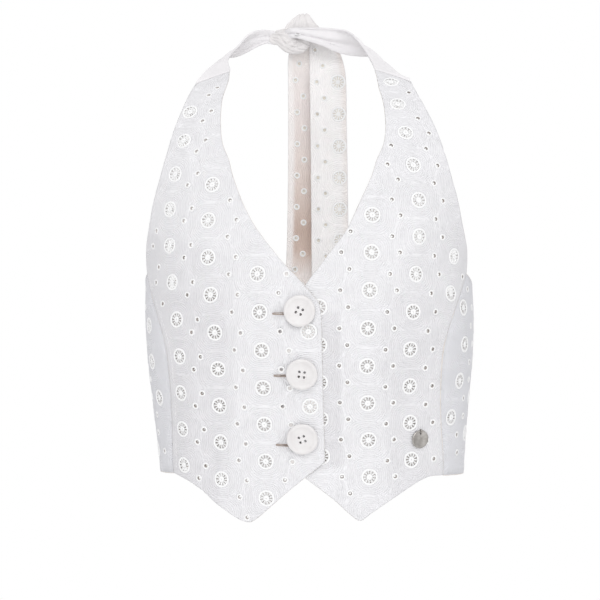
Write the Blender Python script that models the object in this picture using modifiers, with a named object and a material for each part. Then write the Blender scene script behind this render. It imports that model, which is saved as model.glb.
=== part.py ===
"""A halter-neck waistcoat in white cutwork cotton, filled out as worn but with nobody in it.

It has two fronts that lap and button, a V-neck, a hem with two points, a low back, and two ties that turn
over the shoulders and are knotted at the nape, with their ends hanging down the back.

Metres, +Z up. The front faces -Y and +X is the wearer's left. The origin is the nape, where the neck
carries the ties. Every panel lies on one figure, an oval that changes with height. A place on it is an
angle, in degrees round from the centre front towards the wearer's left, and a height.
"""

import math

import bmesh
import bpy
from mathutils import Matrix, Vector

# ---- Driving sizes -------------------------------------------------------------------------------

COLLECTION = "halter_waistcoat"

CLOTH = 0.0015  # wall of one layer of embroidered cotton
TIE_CLOTH = 0.0024  # wall of a tie, which is cut double
SEAM_GAP = 0.0004  # between the edges of two sewn pieces
REST_GAP = 0.0005  # between a piece and what it lies on

LAP = 0.0175  # how far each front edge runs past the centre front
LAP_LIFT = CLOTH + REST_GAP  # how far the top front stands out where it lies on the other
LAP_LIFT_FULL = 0.022  # distance from the centre within which it stands out fully
LAP_LIFT_NONE = 0.062  # and beyond which it doesn't

BUTTON_RADIUS = 0.0130
BUTTON_HOLE_RADIUS = 0.0009
BUTTON_HOLE_SPACING = 0.0042
TAG_RADIUS = 0.0077
TAG_THICKNESS = 0.0012
TAG_HOLE_RADIUS = 0.0010
TAG_HOLE_RISE = 0.0050

# The figure, from the hem's points up to the tops of the shoulders.
# height, half width, y of the sides, depth to the front, depth to the back, sideways lean
FIGURE = (
    (-0.440, 0.1305, -0.083, 0.078, 0.074, 0.0000),
    (-0.380, 0.1335, -0.083, 0.084, 0.084, 0.0000),
    (-0.330, 0.1380, -0.083, 0.092, 0.091, -0.0010),
    (-0.285, 0.1425, -0.083, 0.101, 0.098, -0.0015),
    (-0.250, 0.1440, -0.082, 0.106, 0.103, -0.0020),
    (-0.210, 0.1437, -0.080, 0.106, 0.106, -0.0028),
    (-0.170, 0.1485, -0.077, 0.104, 0.106, -0.0025),
    (-0.140, 0.1540, -0.073, 0.100, 0.094, -0.0020),
    (-0.110, 0.1600, -0.067, 0.095, 0.088, -0.0020),
    (-0.090, 0.1650, -0.061, 0.089, 0.082, -0.0030),
    (-0.070, 0.1700, -0.055, 0.081, 0.074, -0.0045),
    (-0.055, 0.1720, -0.049, 0.072, 0.066, -0.0060),
    (-0.042, 0.1720, -0.044, 0.060, 0.058, -0.0065),
    (-0.030, 0.1720, -0.040, 0.043, 0.050, -0.0090),
    (-0.020, 0.1720, -0.037, 0.020, 0.045, -0.0110),
)
HALF_WIDTH, SIDE_Y, FRONT_DEPTH, BACK_DEPTH, LEAN = 1, 2, 3, 4, 5
SQUARENESS = 2.25  # exponent of the oval: 2 is an ellipse

# Outlines of a front. out is the distance sideways from the centre, towards the panel's own side.
# out, height: the hem, from the front edge over the point to the side seam, on the top front and on the other
FRONT_EDGE_FOOT = -0.3690
HEM = {
    "top": (
        (-LAP, FRONT_EDGE_FOOT),
        (0.0000, -0.3826),
        (0.0200, -0.3992),
        (0.0400, -0.4166),
        (0.0475, -0.4208),
        (0.0564, -0.4188),
        (0.0670, -0.4127),
        (0.0775, -0.4057),
        (0.0884, -0.3966),
        (0.0990, -0.3898),
        (0.1050, -0.3868),
        (0.1153, -0.3830),
    ),
    "under": (
        (-LAP, FRONT_EDGE_FOOT),
        (0.0000, -0.3822),
        (0.0245, -0.4008),
        (0.0400, -0.4145),
        (0.0475, -0.4187),
        (0.0560, -0.4128),
        (0.0740, -0.4008),
        (0.0840, -0.3942),
        (0.0940, -0.3878),
        (0.1040, -0.3834),
        (0.1153, -0.3830),
    ),
}
HEM_POINT_OUT = 0.0475
# out, height: the front edge's top and the start of the neckline, on the top front and on the other
NECK_START = {
    "top": (
        (-LAP, -0.2480),
        (-0.0163, -0.2395),
        (-0.0130, -0.2338),
        (-0.0038, -0.2228),
        (0.0040, -0.2140),
        (0.0126, -0.2052),
        (0.0222, -0.1936),
        (0.0310, -0.1827),
        (0.0385, -0.1722),
    ),
    "under": (
        (-LAP, -0.2560),
        (-0.0145, -0.2455),
        (-0.0075, -0.2370),
        (0.0006, -0.2285),
        (0.0084, -0.2180),
        (0.0163, -0.2080),
        (0.0240, -0.1975),
        (0.0332, -0.1850),
        (0.0400, -0.1745),
    ),
}
NECK = (
    (0.0487, -0.1540),
    (0.0575, -0.1330),
    (0.0620, -0.1180),
    (0.0680, -0.1030),
    (0.0700, -0.0850),
    (0.0690, -0.0650),
    (0.0655, -0.0480),
    (0.0640, -0.0340),
)
# angle, height: the side seam, from the hem up to the underarm
SIDE_SEAM = (
    (58.0, -0.3830),
    (57.0, -0.3650),
    (54.5, -0.3400),
    (52.5, -0.3050),
    (53.0, -0.2750),
    (57.0, -0.2540),
    (62.5, -0.2370),
    (68.5, -0.2220),
    (72.5, -0.2130),
)
# out, height: the armhole edge of a front, from the underarm up to the tie
ARMHOLE = (
    (0.1385, -0.2020),
    (0.1380, -0.1900),
    (0.1342, -0.1720),
    (0.1299, -0.1520),
    (0.1241, -0.1315),
    (0.1183, -0.1110),
    (0.1119, -0.0900),
    (0.1035, -0.0690),
    (0.0940, -0.0465),
)
# angle from the centre back, height: the top and hem edges of half the back
BACK_TOP = ((0.0, -0.2320), (45.0, -0.2310), (75.0, -0.2275), (92.0, -0.2215), (107.5, -0.2130))
BACK_HEM = ((0.0, -0.3880), (60.0, -0.3870), (100.0, -0.3845), (122.0, -0.3830))

# The softest, largest folds, as troughs pressed into a front or ridges where the depth is negative.
# side, out at the top, height at the top, out at the foot, height at the foot, half width, depth
FOLDS = (
    (-1, 0.0700, -0.2650, 0.0800, -0.3900, 0.0130, 0.0022),
    (-1, 0.0930, -0.2900, 0.1000, -0.3850, 0.0110, -0.0014),
    (-1, 0.1180, -0.2300, 0.0900, -0.2600, 0.0110, 0.0012),
    (1, 0.0350, -0.2600, 0.0320, -0.3950, 0.0130, 0.0018),
    (1, 0.0980, -0.2700, 0.0900, -0.3700, 0.0150, 0.0022),
    (1, 0.1150, -0.2450, 0.0880, -0.2600, 0.0110, 0.0014),
)

# Rows and columns of each panel's surface
FRONT_COLUMNS = 15
FRONT_EDGE_ROWS = 10
SEAM_ROWS = 13
FRONT_ROWS = 34
HEM_POINT_ROWS = 11  # rows over which the point of the hem fades out
BACK_COLUMNS = 32
BACK_ROWS = SEAM_ROWS  # so that both sides of the seam bend at the same heights

# The ties between the shoulder and the knot, as two edges after the first place, which is on the front's
# top edge. The neck edge lies against the neck and ends as the upper one. The arm edge ends as the lower.
TIES = {
    "strap_right": {
        "side": -1,
        "neck": (
            (-0.0766, -0.0620, -0.0197),
            (-0.0759, -0.0380, -0.0090),
            (-0.0715, -0.0200, 0.0011),
            (-0.0638, -0.0070, 0.0124),
            (-0.0524, 0.0000, 0.0172),
            (-0.0374, 0.0030, 0.0152),
        ),
        "arm": (
            (-0.0905, -0.0780, -0.0280),
            (-0.0835, -0.0450, -0.0165),
            (-0.0749, -0.0150, -0.0102),
            (-0.0649, 0.0030, -0.0023),
            (-0.0500, 0.0050, 0.0046),
            (-0.0402, 0.0030, 0.0030),
        ),
    },
    "strap_left": {
        "side": 1,
        "neck": (
            (0.0518, -0.0660, -0.0218),
            (0.0416, -0.0360, -0.0036),
            (0.0300, -0.0160, 0.0118),
            (0.0160, -0.0060, 0.0166),
            (0.0000, -0.0086, 0.0172),
            (-0.0160, -0.0102, 0.0162),
            (-0.0300, -0.0105, 0.0145),
        ),
        "arm": (
            (0.0778, -0.0820, -0.0367),
            (0.0647, -0.0520, -0.0217),
            (0.0525, -0.0220, -0.0120),
            (0.0391, -0.0040, -0.0085),
            (0.0203, 0.0000, -0.0055),
            (0.0040, -0.0060, 0.0010),
            (-0.0120, -0.0100, 0.0062),
            (-0.0290, -0.0100, 0.0052),
        ),
    },
}
TIE_COLUMNS = 6
TIE_ROWS = 22
TIE_LEAVES = 0.0060  # how far a tie goes on in the front's own direction before it turns over
TIE_FOLD_DEPTH = 0.0011  # the ties are creased lengthwise, more so towards the knot
TIE_FOLDS = 2.0

# The two lumps of the knot, each as sections of a gathered tube. The core is the right tie, which turns
# down into its hanging end. The wrap is the left tie, which goes over the top and down behind.
KNOT_CORE = (
    # x, y, z, half width, half thickness, direction of the width (x, y, z)
    (-0.0374, 0.0020, 0.0092, 0.0058, 0.0022, (0.0, 0.0, 1.0)),
    (-0.0340, 0.0014, 0.0084, 0.0066, 0.0030, (0.1, 0.0, 1.0)),
    (-0.0290, 0.0010, 0.0062, 0.0075, 0.0042, (0.4, 0.0, 0.9)),
    (-0.0240, 0.0010, 0.0036, 0.0084, 0.0048, (0.7, 0.0, 0.7)),
    (-0.0212, 0.0016, 0.0002, 0.0088, 0.0048, (0.9, 0.0, 0.4)),
    (-0.0204, 0.0040, -0.0036, 0.0088, 0.0040, (1.0, 0.0, 0.1)),
    (-0.0202, 0.0066, -0.0062, 0.0090, 0.0030, (1.0, 0.0, 0.0)),
    (-0.0202, 0.0076, -0.0088, 0.0090, 0.0024, (1.0, 0.0, 0.0)),
)
KNOT_WRAP = (
    (-0.0165, -0.0058, 0.0150, 0.0132, 0.0010, (1.0, 0.0, 0.0)),
    (-0.0155, -0.0056, 0.0186, 0.0148, 0.0014, (1.0, 0.0, 0.0)),
    (-0.0152, -0.0056, 0.0228, 0.0126, 0.0020, (1.0, 0.0, 0.0)),
    (-0.0148, -0.0034, 0.0268, 0.0095, 0.0032, (1.0, 0.0, 0.05)),
    (-0.0142, 0.0020, 0.0285, 0.0072, 0.0034, (1.0, 0.0, 0.05)),
    (-0.0140, 0.0072, 0.0260, 0.0090, 0.0032, (1.0, 0.0, 0.05)),
    (-0.0135, 0.0104, 0.0205, 0.0130, 0.0028, (1.0, 0.0, 0.0)),
    (-0.0120, 0.0112, 0.0140, 0.0140, 0.0022, (1.0, 0.0, 0.0)),
    (-0.0090, 0.0112, 0.0085, 0.0115, 0.0016, (1.0, 0.0, 0.0)),
)
KNOT_SIDES = 28
KNOT_PLEATS = 6
KNOT_PLEAT_DEPTH = 0.10  # of the half thickness

# The hanging ends. height, left x, y at the left, right x, y at the right
TAILS = {
    "tail_left": (
        (0.0068, -0.0104, 0.0118, 0.0142, 0.0118),
        (-0.0050, -0.0104, 0.0124, 0.0205, 0.0120),
        (-0.0240, -0.0098, 0.0138, 0.0252, 0.0132),
        (-0.0700, -0.0095, 0.0204, 0.0260, 0.0202),
        (-0.1200, -0.0092, 0.0254, 0.0266, 0.0252),
        (-0.1800, -0.0088, 0.0274, 0.0272, 0.0274),
        (-0.2300, -0.0084, 0.0278, 0.0276, 0.0278),
        (-0.2680, -0.0080, 0.0266, 0.0274, 0.0268),
    ),
    "tail_right": (
        (-0.0093, -0.0286, 0.0088, -0.0114, 0.0112),
        (-0.0250, -0.0288, 0.0148, -0.0103, 0.0168),
        (-0.0400, -0.0290, 0.0188, 0.0020, 0.0232),
        (-0.0700, -0.0294, 0.0245, 0.0048, 0.0268),
        (-0.1200, -0.0300, 0.0300, 0.0044, 0.0308),
        (-0.1800, -0.0312, 0.0322, 0.0034, 0.0324),
        (-0.2300, -0.0332, 0.0324, 0.0020, 0.0326),
        (-0.2740, -0.0340, 0.0312, 0.0012, 0.0314),
    ),
}
TAIL_COLUMNS = 6
TAIL_ROWS = 18

# Buttons: name, x, height, turn of the holes in degrees
BUTTONS = (
    ("button_top", -0.0020, -0.2440, -26.0),
    ("button_middle", -0.0006, -0.2950, -8.0),
    ("button_bottom", -0.0010, -0.3490, 18.0),
)
# radius, height above the back: half the button's section, from the middle of the face down to the back
BUTTON_SECTION = (
    (0.0000, 0.0030),
    (0.0092, 0.0031),
    (0.0103, 0.0036),
    (0.0116, 0.0037),
    (0.0127, 0.0031),
    (0.0130, 0.0021),
    (0.0125, 0.0009),
    (0.0105, 0.0000),
    (0.0000, 0.0000),
)
BUTTON_STEPS = 32
TAG_OUT = 0.0968
TAG_HEIGHT = -0.3515

# Colours, roughness and metallic value of each material
COTTON = ((0.90, 0.90, 0.92), 0.85, 0.0)
BUTTON_PLASTIC = ((0.86, 0.85, 0.83), 0.35, 0.0)
TAG_METAL = ((0.40, 0.38, 0.36), 0.35, 1.0)


# ---- Smooth lines and tables ---------------------------------------------------------------------


def hermite(a, b, slope_a, slope_b, t):
    """A cubic from a to b with the given slopes, at t from 0 to 1. It takes numbers and vectors."""
    return (
        a * (2 * t**3 - 3 * t**2 + 1)
        + slope_a * (t**3 - 2 * t**2 + t)
        + b * (3 * t**2 - 2 * t**3)
        + slope_b * (t**3 - t**2)
    )


def look_up(table, key, column):
    """The value in a column at a key between rows, on a smooth curve through the rows."""
    keys = [row[0] for row in table]
    values = [row[column] for row in table]
    if keys[0] > keys[-1]:
        keys.reverse()
        values.reverse()
    last = len(keys) - 1
    i = min(max(sum(k <= key for k in keys) - 1, 0), last - 1)

    def slope(k):
        low, high = max(k - 1, 0), min(k + 1, last)
        return (values[high] - values[low]) / (keys[high] - keys[low])

    span = keys[i + 1] - keys[i]
    t = (key - keys[i]) / span
    return hermite(values[i], values[i + 1], slope(i) * span, slope(i + 1) * span, t)


def smooth_line(points, steps=10):
    """Points along a smooth curve through the given ones."""
    points = [Vector(p) for p in points]
    last = len(points) - 1
    line = []
    for i in range(last):
        before, after = points[max(i - 1, 0)], points[min(i + 2, last)]
        slope_a = (points[i + 1] - before) / 2
        slope_b = (after - points[i]) / 2
        for k in range(steps):
            line.append(hermite(points[i], points[i + 1], slope_a, slope_b, k / steps))
    line.append(points[-1])
    return line


def along(line, fraction):
    """The point at a fraction of a line's length."""
    lengths = [(b - a).length for a, b in zip(line, line[1:])]
    left = min(max(fraction, 0.0), 1.0) * sum(lengths)
    for a, b, length in zip(line, line[1:], lengths):
        if left <= length:
            return a.lerp(b, left / length)
        left -= length
    return line[-1].copy()


def ease(value):
    """0 below 0, 1 above 1 and a soft step between."""
    value = min(max(value, 0.0), 1.0)
    return value * value * (3 - 2 * value)


def mix(a, b, t):
    return a + (b - a) * t


# ---- The figure ----------------------------------------------------------------------------------


def power(value):
    """Sine or cosine, drawn out to the oval's squareness."""
    return math.copysign(abs(value) ** (2 / SQUARENESS), value)


def figure_point(angle, height):
    turn = math.radians(angle)
    column = FRONT_DEPTH if math.cos(turn) > 0 else BACK_DEPTH
    x = look_up(FIGURE, height, LEAN) + look_up(FIGURE, height, HALF_WIDTH) * power(math.sin(turn))
    y = look_up(FIGURE, height, SIDE_Y) - look_up(FIGURE, height, column) * power(math.cos(turn))
    return Vector((x, y, height))


def figure_normal(angle, height):
    """The outward normal, from two short steps on the figure that stay clear of the oval's corners."""
    step, rise = 1.5, 0.002
    across = figure_point(angle + step, height) - figure_point(angle - step, height)
    up = figure_point(angle, height + rise) - figure_point(angle, height - rise)
    return across.cross(up).normalized()


def angle_of(out, height):
    """The angle on the figure at a distance sideways from its centre."""
    reach = min(abs(out) / look_up(FIGURE, height, HALF_WIDTH), 0.999)
    return math.copysign(math.degrees(math.asin(reach ** (SQUARENESS / 2))), out)


def out_of(angle, height):
    return look_up(FIGURE, height, HALF_WIDTH) * power(math.sin(math.radians(angle)))


def fold_depth(side, out, height):
    """How far the folds press the cloth in at a place on a front."""
    depth = 0.0
    for fold_side, out_top, top, out_foot, foot, half_width, full in FOLDS:
        if fold_side != side:
            continue
        t = (top - height) / (top - foot)
        middle = mix(out_top, out_foot, min(max(t, 0.0), 1.0))
        end = ease(t / 0.3 + 0.5) * ease((1 - t) / 0.3 + 0.5)
        depth += full * end * math.exp(-(((out - middle) / half_width) ** 2))
    return depth


def lap_lift(side, out):
    """How far the top front stands out from the figure. Its side is -1."""
    if side > 0:
        return 0.0
    return LAP_LIFT * ease((LAP_LIFT_NONE - out) / (LAP_LIFT_NONE - LAP_LIFT_FULL))


def front_surface(side, angle, height, extra=0.0):
    """A point on a front's outer face, and extra metres out from it. The angle is to its own side."""
    out = out_of(angle, height)
    rise = lap_lift(side, out) - fold_depth(side, out, height) + extra
    return figure_point(side * angle, height) + figure_normal(side * angle, height) * rise


# ---- Outlines of the panels, as angle and height -------------------------------------------------


def layer(side):
    """Which front lies on top: the wearer's right one, whose side is -1."""
    return "top" if side < 0 else "under"


def neckline(side):
    """The neckline of a front from the top of its front edge to the tie."""
    return smooth_line([(out, height, 0.0) for out, height in NECK_START[layer(side)] + NECK])


def armhole():
    angle, height = SIDE_SEAM[-1]
    start = (out_of(angle, height), height, 0.0)
    return smooth_line([start] + [(out, height, 0.0) for out, height in ARMHOLE])


def side_seam(height):
    """The side seam's angle at a height."""
    return look_up([(row_height, angle) for angle, row_height in SIDE_SEAM], height, 1)


def front_inner(side, row):
    """Angle and height of a front's inner boundary: its front edge, then its neckline."""
    line = neckline(side)
    if row <= FRONT_EDGE_ROWS:
        height = mix(FRONT_EDGE_FOOT, line[0][1], row / FRONT_EDGE_ROWS)
        return angle_of(-LAP, height), height
    place = along(line, (row - FRONT_EDGE_ROWS) / (FRONT_ROWS - FRONT_EDGE_ROWS))
    return angle_of(place.x, place.y), place.y


def front_outer(row):
    """Angle and height of a front's outer boundary: its side seam, then its armhole."""
    if row <= SEAM_ROWS:
        height = mix(SIDE_SEAM[0][1], SIDE_SEAM[-1][1], row / SEAM_ROWS)
        return side_seam(height), height
    place = along(armhole(), (row - SEAM_ROWS) / (FRONT_ROWS - SEAM_ROWS))
    return angle_of(place.x, place.y), place.y


def front_place(side, s, row):
    """A front's point at a fraction s from its inner boundary and at a row from its hem."""
    inner_angle, inner_height = front_inner(side, row)
    outer_angle, outer_height = front_outer(row)
    angle = mix(inner_angle, outer_angle, s)
    height = mix(inner_height, outer_height, s)
    if row < HEM_POINT_ROWS:
        hem_inner, hem_outer = front_inner(side, 0), front_outer(0)
        hem_out = out_of(mix(hem_inner[0], hem_outer[0], s), FRONT_EDGE_FOOT)
        straight = mix(hem_inner[1], hem_outer[1], s)
        dip = look_up(HEM[layer(side)], hem_out, 1) - straight
        height += dip * (1 - row / HEM_POINT_ROWS) ** 1.5
    return front_surface(side, angle, height)


def front_columns(side):
    """Fractions of the columns, evenly spaced but for one that passes through the hem's point."""
    inner, outer = front_inner(side, 0)[0], front_outer(0)[0]
    point = (angle_of(HEM_POINT_OUT, FRONT_EDGE_FOOT) - inner) / (outer - inner)
    nearest = round(point * FRONT_COLUMNS)
    before = [point * k / nearest for k in range(nearest)]
    after = FRONT_COLUMNS - nearest
    return before + [mix(point, 1.0, k / after) for k in range(after + 1)]


# ---- Making objects ------------------------------------------------------------------------------


def make_material(name, finish):
    colour, roughness, metallic = finish
    material = bpy.data.materials.new(name)
    material.use_nodes = True
    shader = material.node_tree.nodes["Principled BSDF"]
    shader.inputs["Base Color"].default_value = (*colour, 1.0)
    shader.inputs["Roughness"].default_value = roughness
    shader.inputs["Metallic"].default_value = metallic
    return material


def add_object(name, mesh, finish, collection=COLLECTION):
    piece = bpy.data.objects.new(name, mesh)
    mesh.materials.append(make_material(name, finish))
    bpy.data.collections[collection].objects.link(piece)
    return piece


def cloth(name, columns, rows, place, wall):
    """A sheet: a grid whose points are put in place by column and row, with a wall on its inner side."""
    bm = bmesh.new()
    bmesh.ops.create_grid(bm, x_segments=columns, y_segments=rows, size=1.0)
    for vert in bm.verts:
        column = round((vert.co.x + 1) / 2 * columns)
        row = round((vert.co.y + 1) / 2 * rows)
        vert.co = place(column, row)
    mesh = bpy.data.meshes.new(name)
    bm.to_mesh(mesh)
    bm.free()
    mesh.shade_smooth()
    piece = add_object(name, mesh, COTTON)
    solidify = piece.modifiers.new("wall", "SOLIDIFY")
    solidify.thickness = wall
    solidify.offset = -1.0
    return piece


def make_front(name, side):
    fractions = front_columns(side)
    if side < 0:
        fractions.reverse()
    return cloth(
        name, FRONT_COLUMNS, FRONT_ROWS, lambda column, row: front_place(side, fractions[column], row), CLOTH
    )


def back_place(s, t):
    """The back's point at a fraction s from the left side seam round to the right, and t up from the hem."""

    def seam_angle(height):
        gap = math.degrees(SEAM_GAP / look_up(FIGURE, height, HALF_WIDTH))
        return side_seam(height) + 1.5 * gap

    angle = mix(60.0, 300.0, s)
    for _ in range(2):  # the height depends on the angle and the seam's angle on the height
        from_back = abs(angle - 180.0)
        hem = look_up(BACK_HEM, min(from_back, BACK_HEM[-1][0]), 1)
        top = look_up(BACK_TOP, min(from_back, BACK_TOP[-1][0]), 1)
        height = mix(hem, top, t)
        seam = seam_angle(height)
        angle = mix(seam, 360.0 - seam, s)
    return figure_point(angle, height)


def make_back():
    return cloth(
        "back",
        BACK_COLUMNS,
        BACK_ROWS,
        lambda column, row: back_place(column / BACK_COLUMNS, row / BACK_ROWS),
        CLOTH,
    )


def front_top(side, s):
    """A point on a front's top edge and the direction in which the cloth leaves it, at s from the neck."""
    place = front_place(side, s, FRONT_ROWS)
    return place, (place - front_place(side, s, FRONT_ROWS - 0.5)).normalized()


def tie_edges(name):
    """The neck edge and the arm edge of a tie, from just past the front's top edge to the knot."""
    tie = TIES[name]
    edges = []
    for key, s in (("neck", 0.0), ("arm", 1.0)):
        start, onward = front_top(tie["side"], s)
        leaving = [start + onward * SEAM_GAP, start + onward * TIE_LEAVES]
        edges.append(smooth_line(leaving + list(tie[key])))
    return edges


def make_tie(name):
    neck_edge, arm_edge = tie_edges(name)
    side = TIES[name]["side"]

    def place(column, row):
        s, t = column / TIE_COLUMNS, row / TIE_ROWS
        neck, arm = along(neck_edge, t), along(arm_edge, t)
        ahead = min(t + 0.02, 1.0)
        run = (along(neck_edge, ahead) + along(arm_edge, ahead)) - (
            along(neck_edge, ahead - 0.04) + along(arm_edge, ahead - 0.04)
        )
        first, last, from_neck = (arm, neck, 1 - s) if side < 0 else (neck, arm, s)
        out = (last - first).cross(run).normalized()
        crease = TIE_FOLD_DEPTH * ease(t * 3 - 0.3) * math.sin(TIE_FOLDS * 2 * math.pi * s)
        crown = 0.0015 * ease(t * 4 - 0.4) * math.sin(math.pi * s)
        # near the front, the tie bows as the front's top edge does
        edge = front_top(side, from_neck)[0]
        bow = edge - front_top(side, 0.0)[0].lerp(front_top(side, 1.0)[0], from_neck)
        return first.lerp(last, s) + out * (crease + crown) + bow * (1 - ease(t * 5))

    return cloth(name, TIE_COLUMNS, TIE_ROWS, place, TIE_CLOTH)


def make_tail(name):
    rows = TAILS[name]
    top, foot = rows[0][0], rows[-1][0]

    def place(column, row):
        s = column / TAIL_COLUMNS
        height = mix(foot, top, row / TAIL_ROWS)
        left, left_y, right, right_y = (look_up(rows, height, k) for k in (1, 2, 3, 4))
        wave = 0.0008 * math.sin(2 * math.pi * s) * ease((top - height) / 0.05)
        # columns run from the wearer's left, so that the wall is on the side next to the body
        return Vector((mix(right, left, s), mix(right_y, left_y, s) + wave, height))

    return cloth(name, TAIL_COLUMNS, TAIL_ROWS, place, TIE_CLOTH)


def make_knot_part(name, sections):
    """A closed, gathered lump through its sections: a ring of points at each, and a fan at each end."""
    middles = [Vector(row[:3]) for row in sections]
    rings = []
    for i, (_, _, _, half_width, half_thickness, width) in enumerate(sections):
        run = middles[min(i + 1, len(middles) - 1)] - middles[max(i - 1, 0)]
        through = Vector(width).cross(run).normalized()
        across = run.cross(through).normalized()
        ring = []
        for k in range(KNOT_SIDES):
            turn = 2 * math.pi * k / KNOT_SIDES
            pleat = 1 + KNOT_PLEAT_DEPTH * math.cos(KNOT_PLEATS * 2 * turn)
            ring.append(
                middles[i]
                + across * (half_width * math.cos(turn))
                + through * (half_thickness * pleat * math.copysign(abs(math.sin(turn)) ** 0.8, math.sin(turn)))
            )
        rings.append(ring)
    bm = bmesh.new()
    verts = [[bm.verts.new(point) for point in ring] for ring in rings]
    for lower, upper in zip(verts, verts[1:]):
        for k in range(KNOT_SIDES):
            after = (k + 1) % KNOT_SIDES
            bm.faces.new((lower[k], lower[after], upper[after], upper[k]))
    for ring, middle in ((verts[0], middles[0]), (verts[-1], middles[-1])):
        hub = bm.verts.new(middle)
        for k in range(KNOT_SIDES):
            bm.faces.new((ring[k], ring[(k + 1) % KNOT_SIDES], hub))
    bmesh.ops.recalc_face_normals(bm, faces=bm.faces)
    mesh = bpy.data.meshes.new(name)
    bm.to_mesh(mesh)
    bm.free()
    mesh.shade_smooth()
    return add_object(name, mesh, COTTON)


def turned(name, section, steps, finish):
    """A solid of revolution about Z from a half section that runs from the top down to the foot."""
    mesh = bpy.data.meshes.new(name)
    edges = [(i, i + 1) for i in range(len(section) - 1)]
    mesh.from_pydata([(radius, 0.0, height) for radius, height in section], edges, [])
    piece = add_object(name, mesh, finish)
    screw = piece.modifiers.new("turn", "SCREW")
    screw.steps = steps
    screw.render_steps = steps
    screw.use_merge_vertices = True
    screw.merge_threshold = 0.0001
    screw.use_normal_calculate = True
    return piece


def drill(piece, name, places, radius, depth):
    """Cuts round holes along Z through a piece that is at the origin. The cutter follows the piece."""
    bm = bmesh.new()
    for x, y in places:
        bmesh.ops.create_cone(
            bm,
            cap_ends=True,
            segments=12,
            radius1=radius,
            radius2=radius,
            depth=depth,
            matrix=Matrix.Translation((x, y, 0.0)),
        )
    mesh = bpy.data.meshes.new(name)
    bm.to_mesh(mesh)
    bm.free()
    cutter = bpy.data.objects.new(name, mesh)
    bpy.data.collections["cutters"].objects.link(cutter)
    cutter.display_type = "WIRE"
    cutter.hide_render = True
    cutter.parent = piece
    cut = piece.modifiers.new("holes", "BOOLEAN")
    cut.operation = "DIFFERENCE"
    cut.solver = "EXACT"
    cut.object = cutter


def seat_on_front(piece, side, out, height, turn, clearance):
    """Stands a piece's Z axis on a front, its foot clear of the cloth, turned about that axis."""
    angle = angle_of(out, height)
    place = front_surface(side, angle, height, clearance)
    normal = figure_normal(side * angle, height)
    sideways = Vector((0.0, 0.0, 1.0)).cross(normal).normalized()
    upright = normal.cross(sideways)
    frame = Matrix((sideways, upright, normal)).transposed().to_4x4()
    piece.matrix_world = Matrix.Translation(place) @ frame @ Matrix.Rotation(math.radians(turn), 4, "Z")


def make_button(name, x, height, turn):
    piece = turned(name, BUTTON_SECTION, BUTTON_STEPS, BUTTON_PLASTIC)
    half = BUTTON_HOLE_SPACING / 2
    corners = [(sx * half, sy * half) for sx in (-1, 1) for sy in (-1, 1)]
    drill(piece, name + "_holes", corners, BUTTON_HOLE_RADIUS, 0.02)
    out = look_up(FIGURE, height, LEAN) - x
    seat_on_front(piece, -1, out, height, turn, REST_GAP)


def make_tag():
    rim = TAG_RADIUS - TAG_THICKNESS / 3
    section = (
        (0.0, TAG_THICKNESS),
        (rim, TAG_THICKNESS),
        (TAG_RADIUS, TAG_THICKNESS * 2 / 3),
        (TAG_RADIUS, TAG_THICKNESS / 4),
        (rim, 0.0),
        (0.0, 0.0),
    )
    piece = turned("tag", section, BUTTON_STEPS, TAG_METAL)
    drill(piece, "tag_hole", [(0.0, TAG_HOLE_RISE)], TAG_HOLE_RADIUS, 0.01)
    seat_on_front(piece, 1, TAG_OUT, TAG_HEIGHT, 0.0, REST_GAP)


def main():
    for old in list(bpy.data.objects):
        bpy.data.objects.remove(old, do_unlink=True)
    for name in (COLLECTION, "cutters"):
        bpy.context.scene.collection.children.link(bpy.data.collections.new(name))
    make_front("front_right", -1)
    make_front("front_left", 1)
    make_back()
    for name in TIES:
        make_tie(name)
    make_knot_part("knot_core", KNOT_CORE)
    make_knot_part("knot_wrap", KNOT_WRAP)
    for name in TAILS:
        make_tail(name)
    for button in BUTTONS:
        make_button(*button)
    make_tag()


main()
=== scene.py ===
"""The looks of the halter-neck waistcoat: cutwork cotton with real eyelets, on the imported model's frame.

Each panel is drawn flat, as an outline with its eyelets cut out, and then laid on the same figure that
the solids use. Flat places are in metres: across, the distance round the figure from the centre front
(or the centre back), and up, the distance up the front from the foot of the figure. A place's out is its
distance from the middle towards its own side. side is -1 for the wearer's right and 1 for their left.
Metres, +Z up, the origin is at the nape, the front faces -Y and +X is the wearer's left.
"""

import math
from functools import lru_cache

import bmesh
import bpy
import numpy as np
from mathutils import Matrix, Vector
from mathutils.geometry import delaunay_2d_cdt


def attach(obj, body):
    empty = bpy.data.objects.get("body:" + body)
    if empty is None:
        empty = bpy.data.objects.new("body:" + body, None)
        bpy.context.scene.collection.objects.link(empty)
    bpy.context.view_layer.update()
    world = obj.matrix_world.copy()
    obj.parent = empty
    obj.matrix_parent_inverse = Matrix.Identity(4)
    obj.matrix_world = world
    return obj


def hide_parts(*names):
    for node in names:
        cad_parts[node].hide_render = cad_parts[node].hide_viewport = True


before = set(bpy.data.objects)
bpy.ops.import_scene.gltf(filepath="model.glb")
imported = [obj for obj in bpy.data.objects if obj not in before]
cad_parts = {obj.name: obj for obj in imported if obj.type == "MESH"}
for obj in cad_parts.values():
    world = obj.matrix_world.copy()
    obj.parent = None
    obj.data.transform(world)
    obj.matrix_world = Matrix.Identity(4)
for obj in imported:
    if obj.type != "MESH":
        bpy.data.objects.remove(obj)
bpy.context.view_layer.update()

# ---- Sizes shared with the solids ----------------------------------------------------------------

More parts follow.
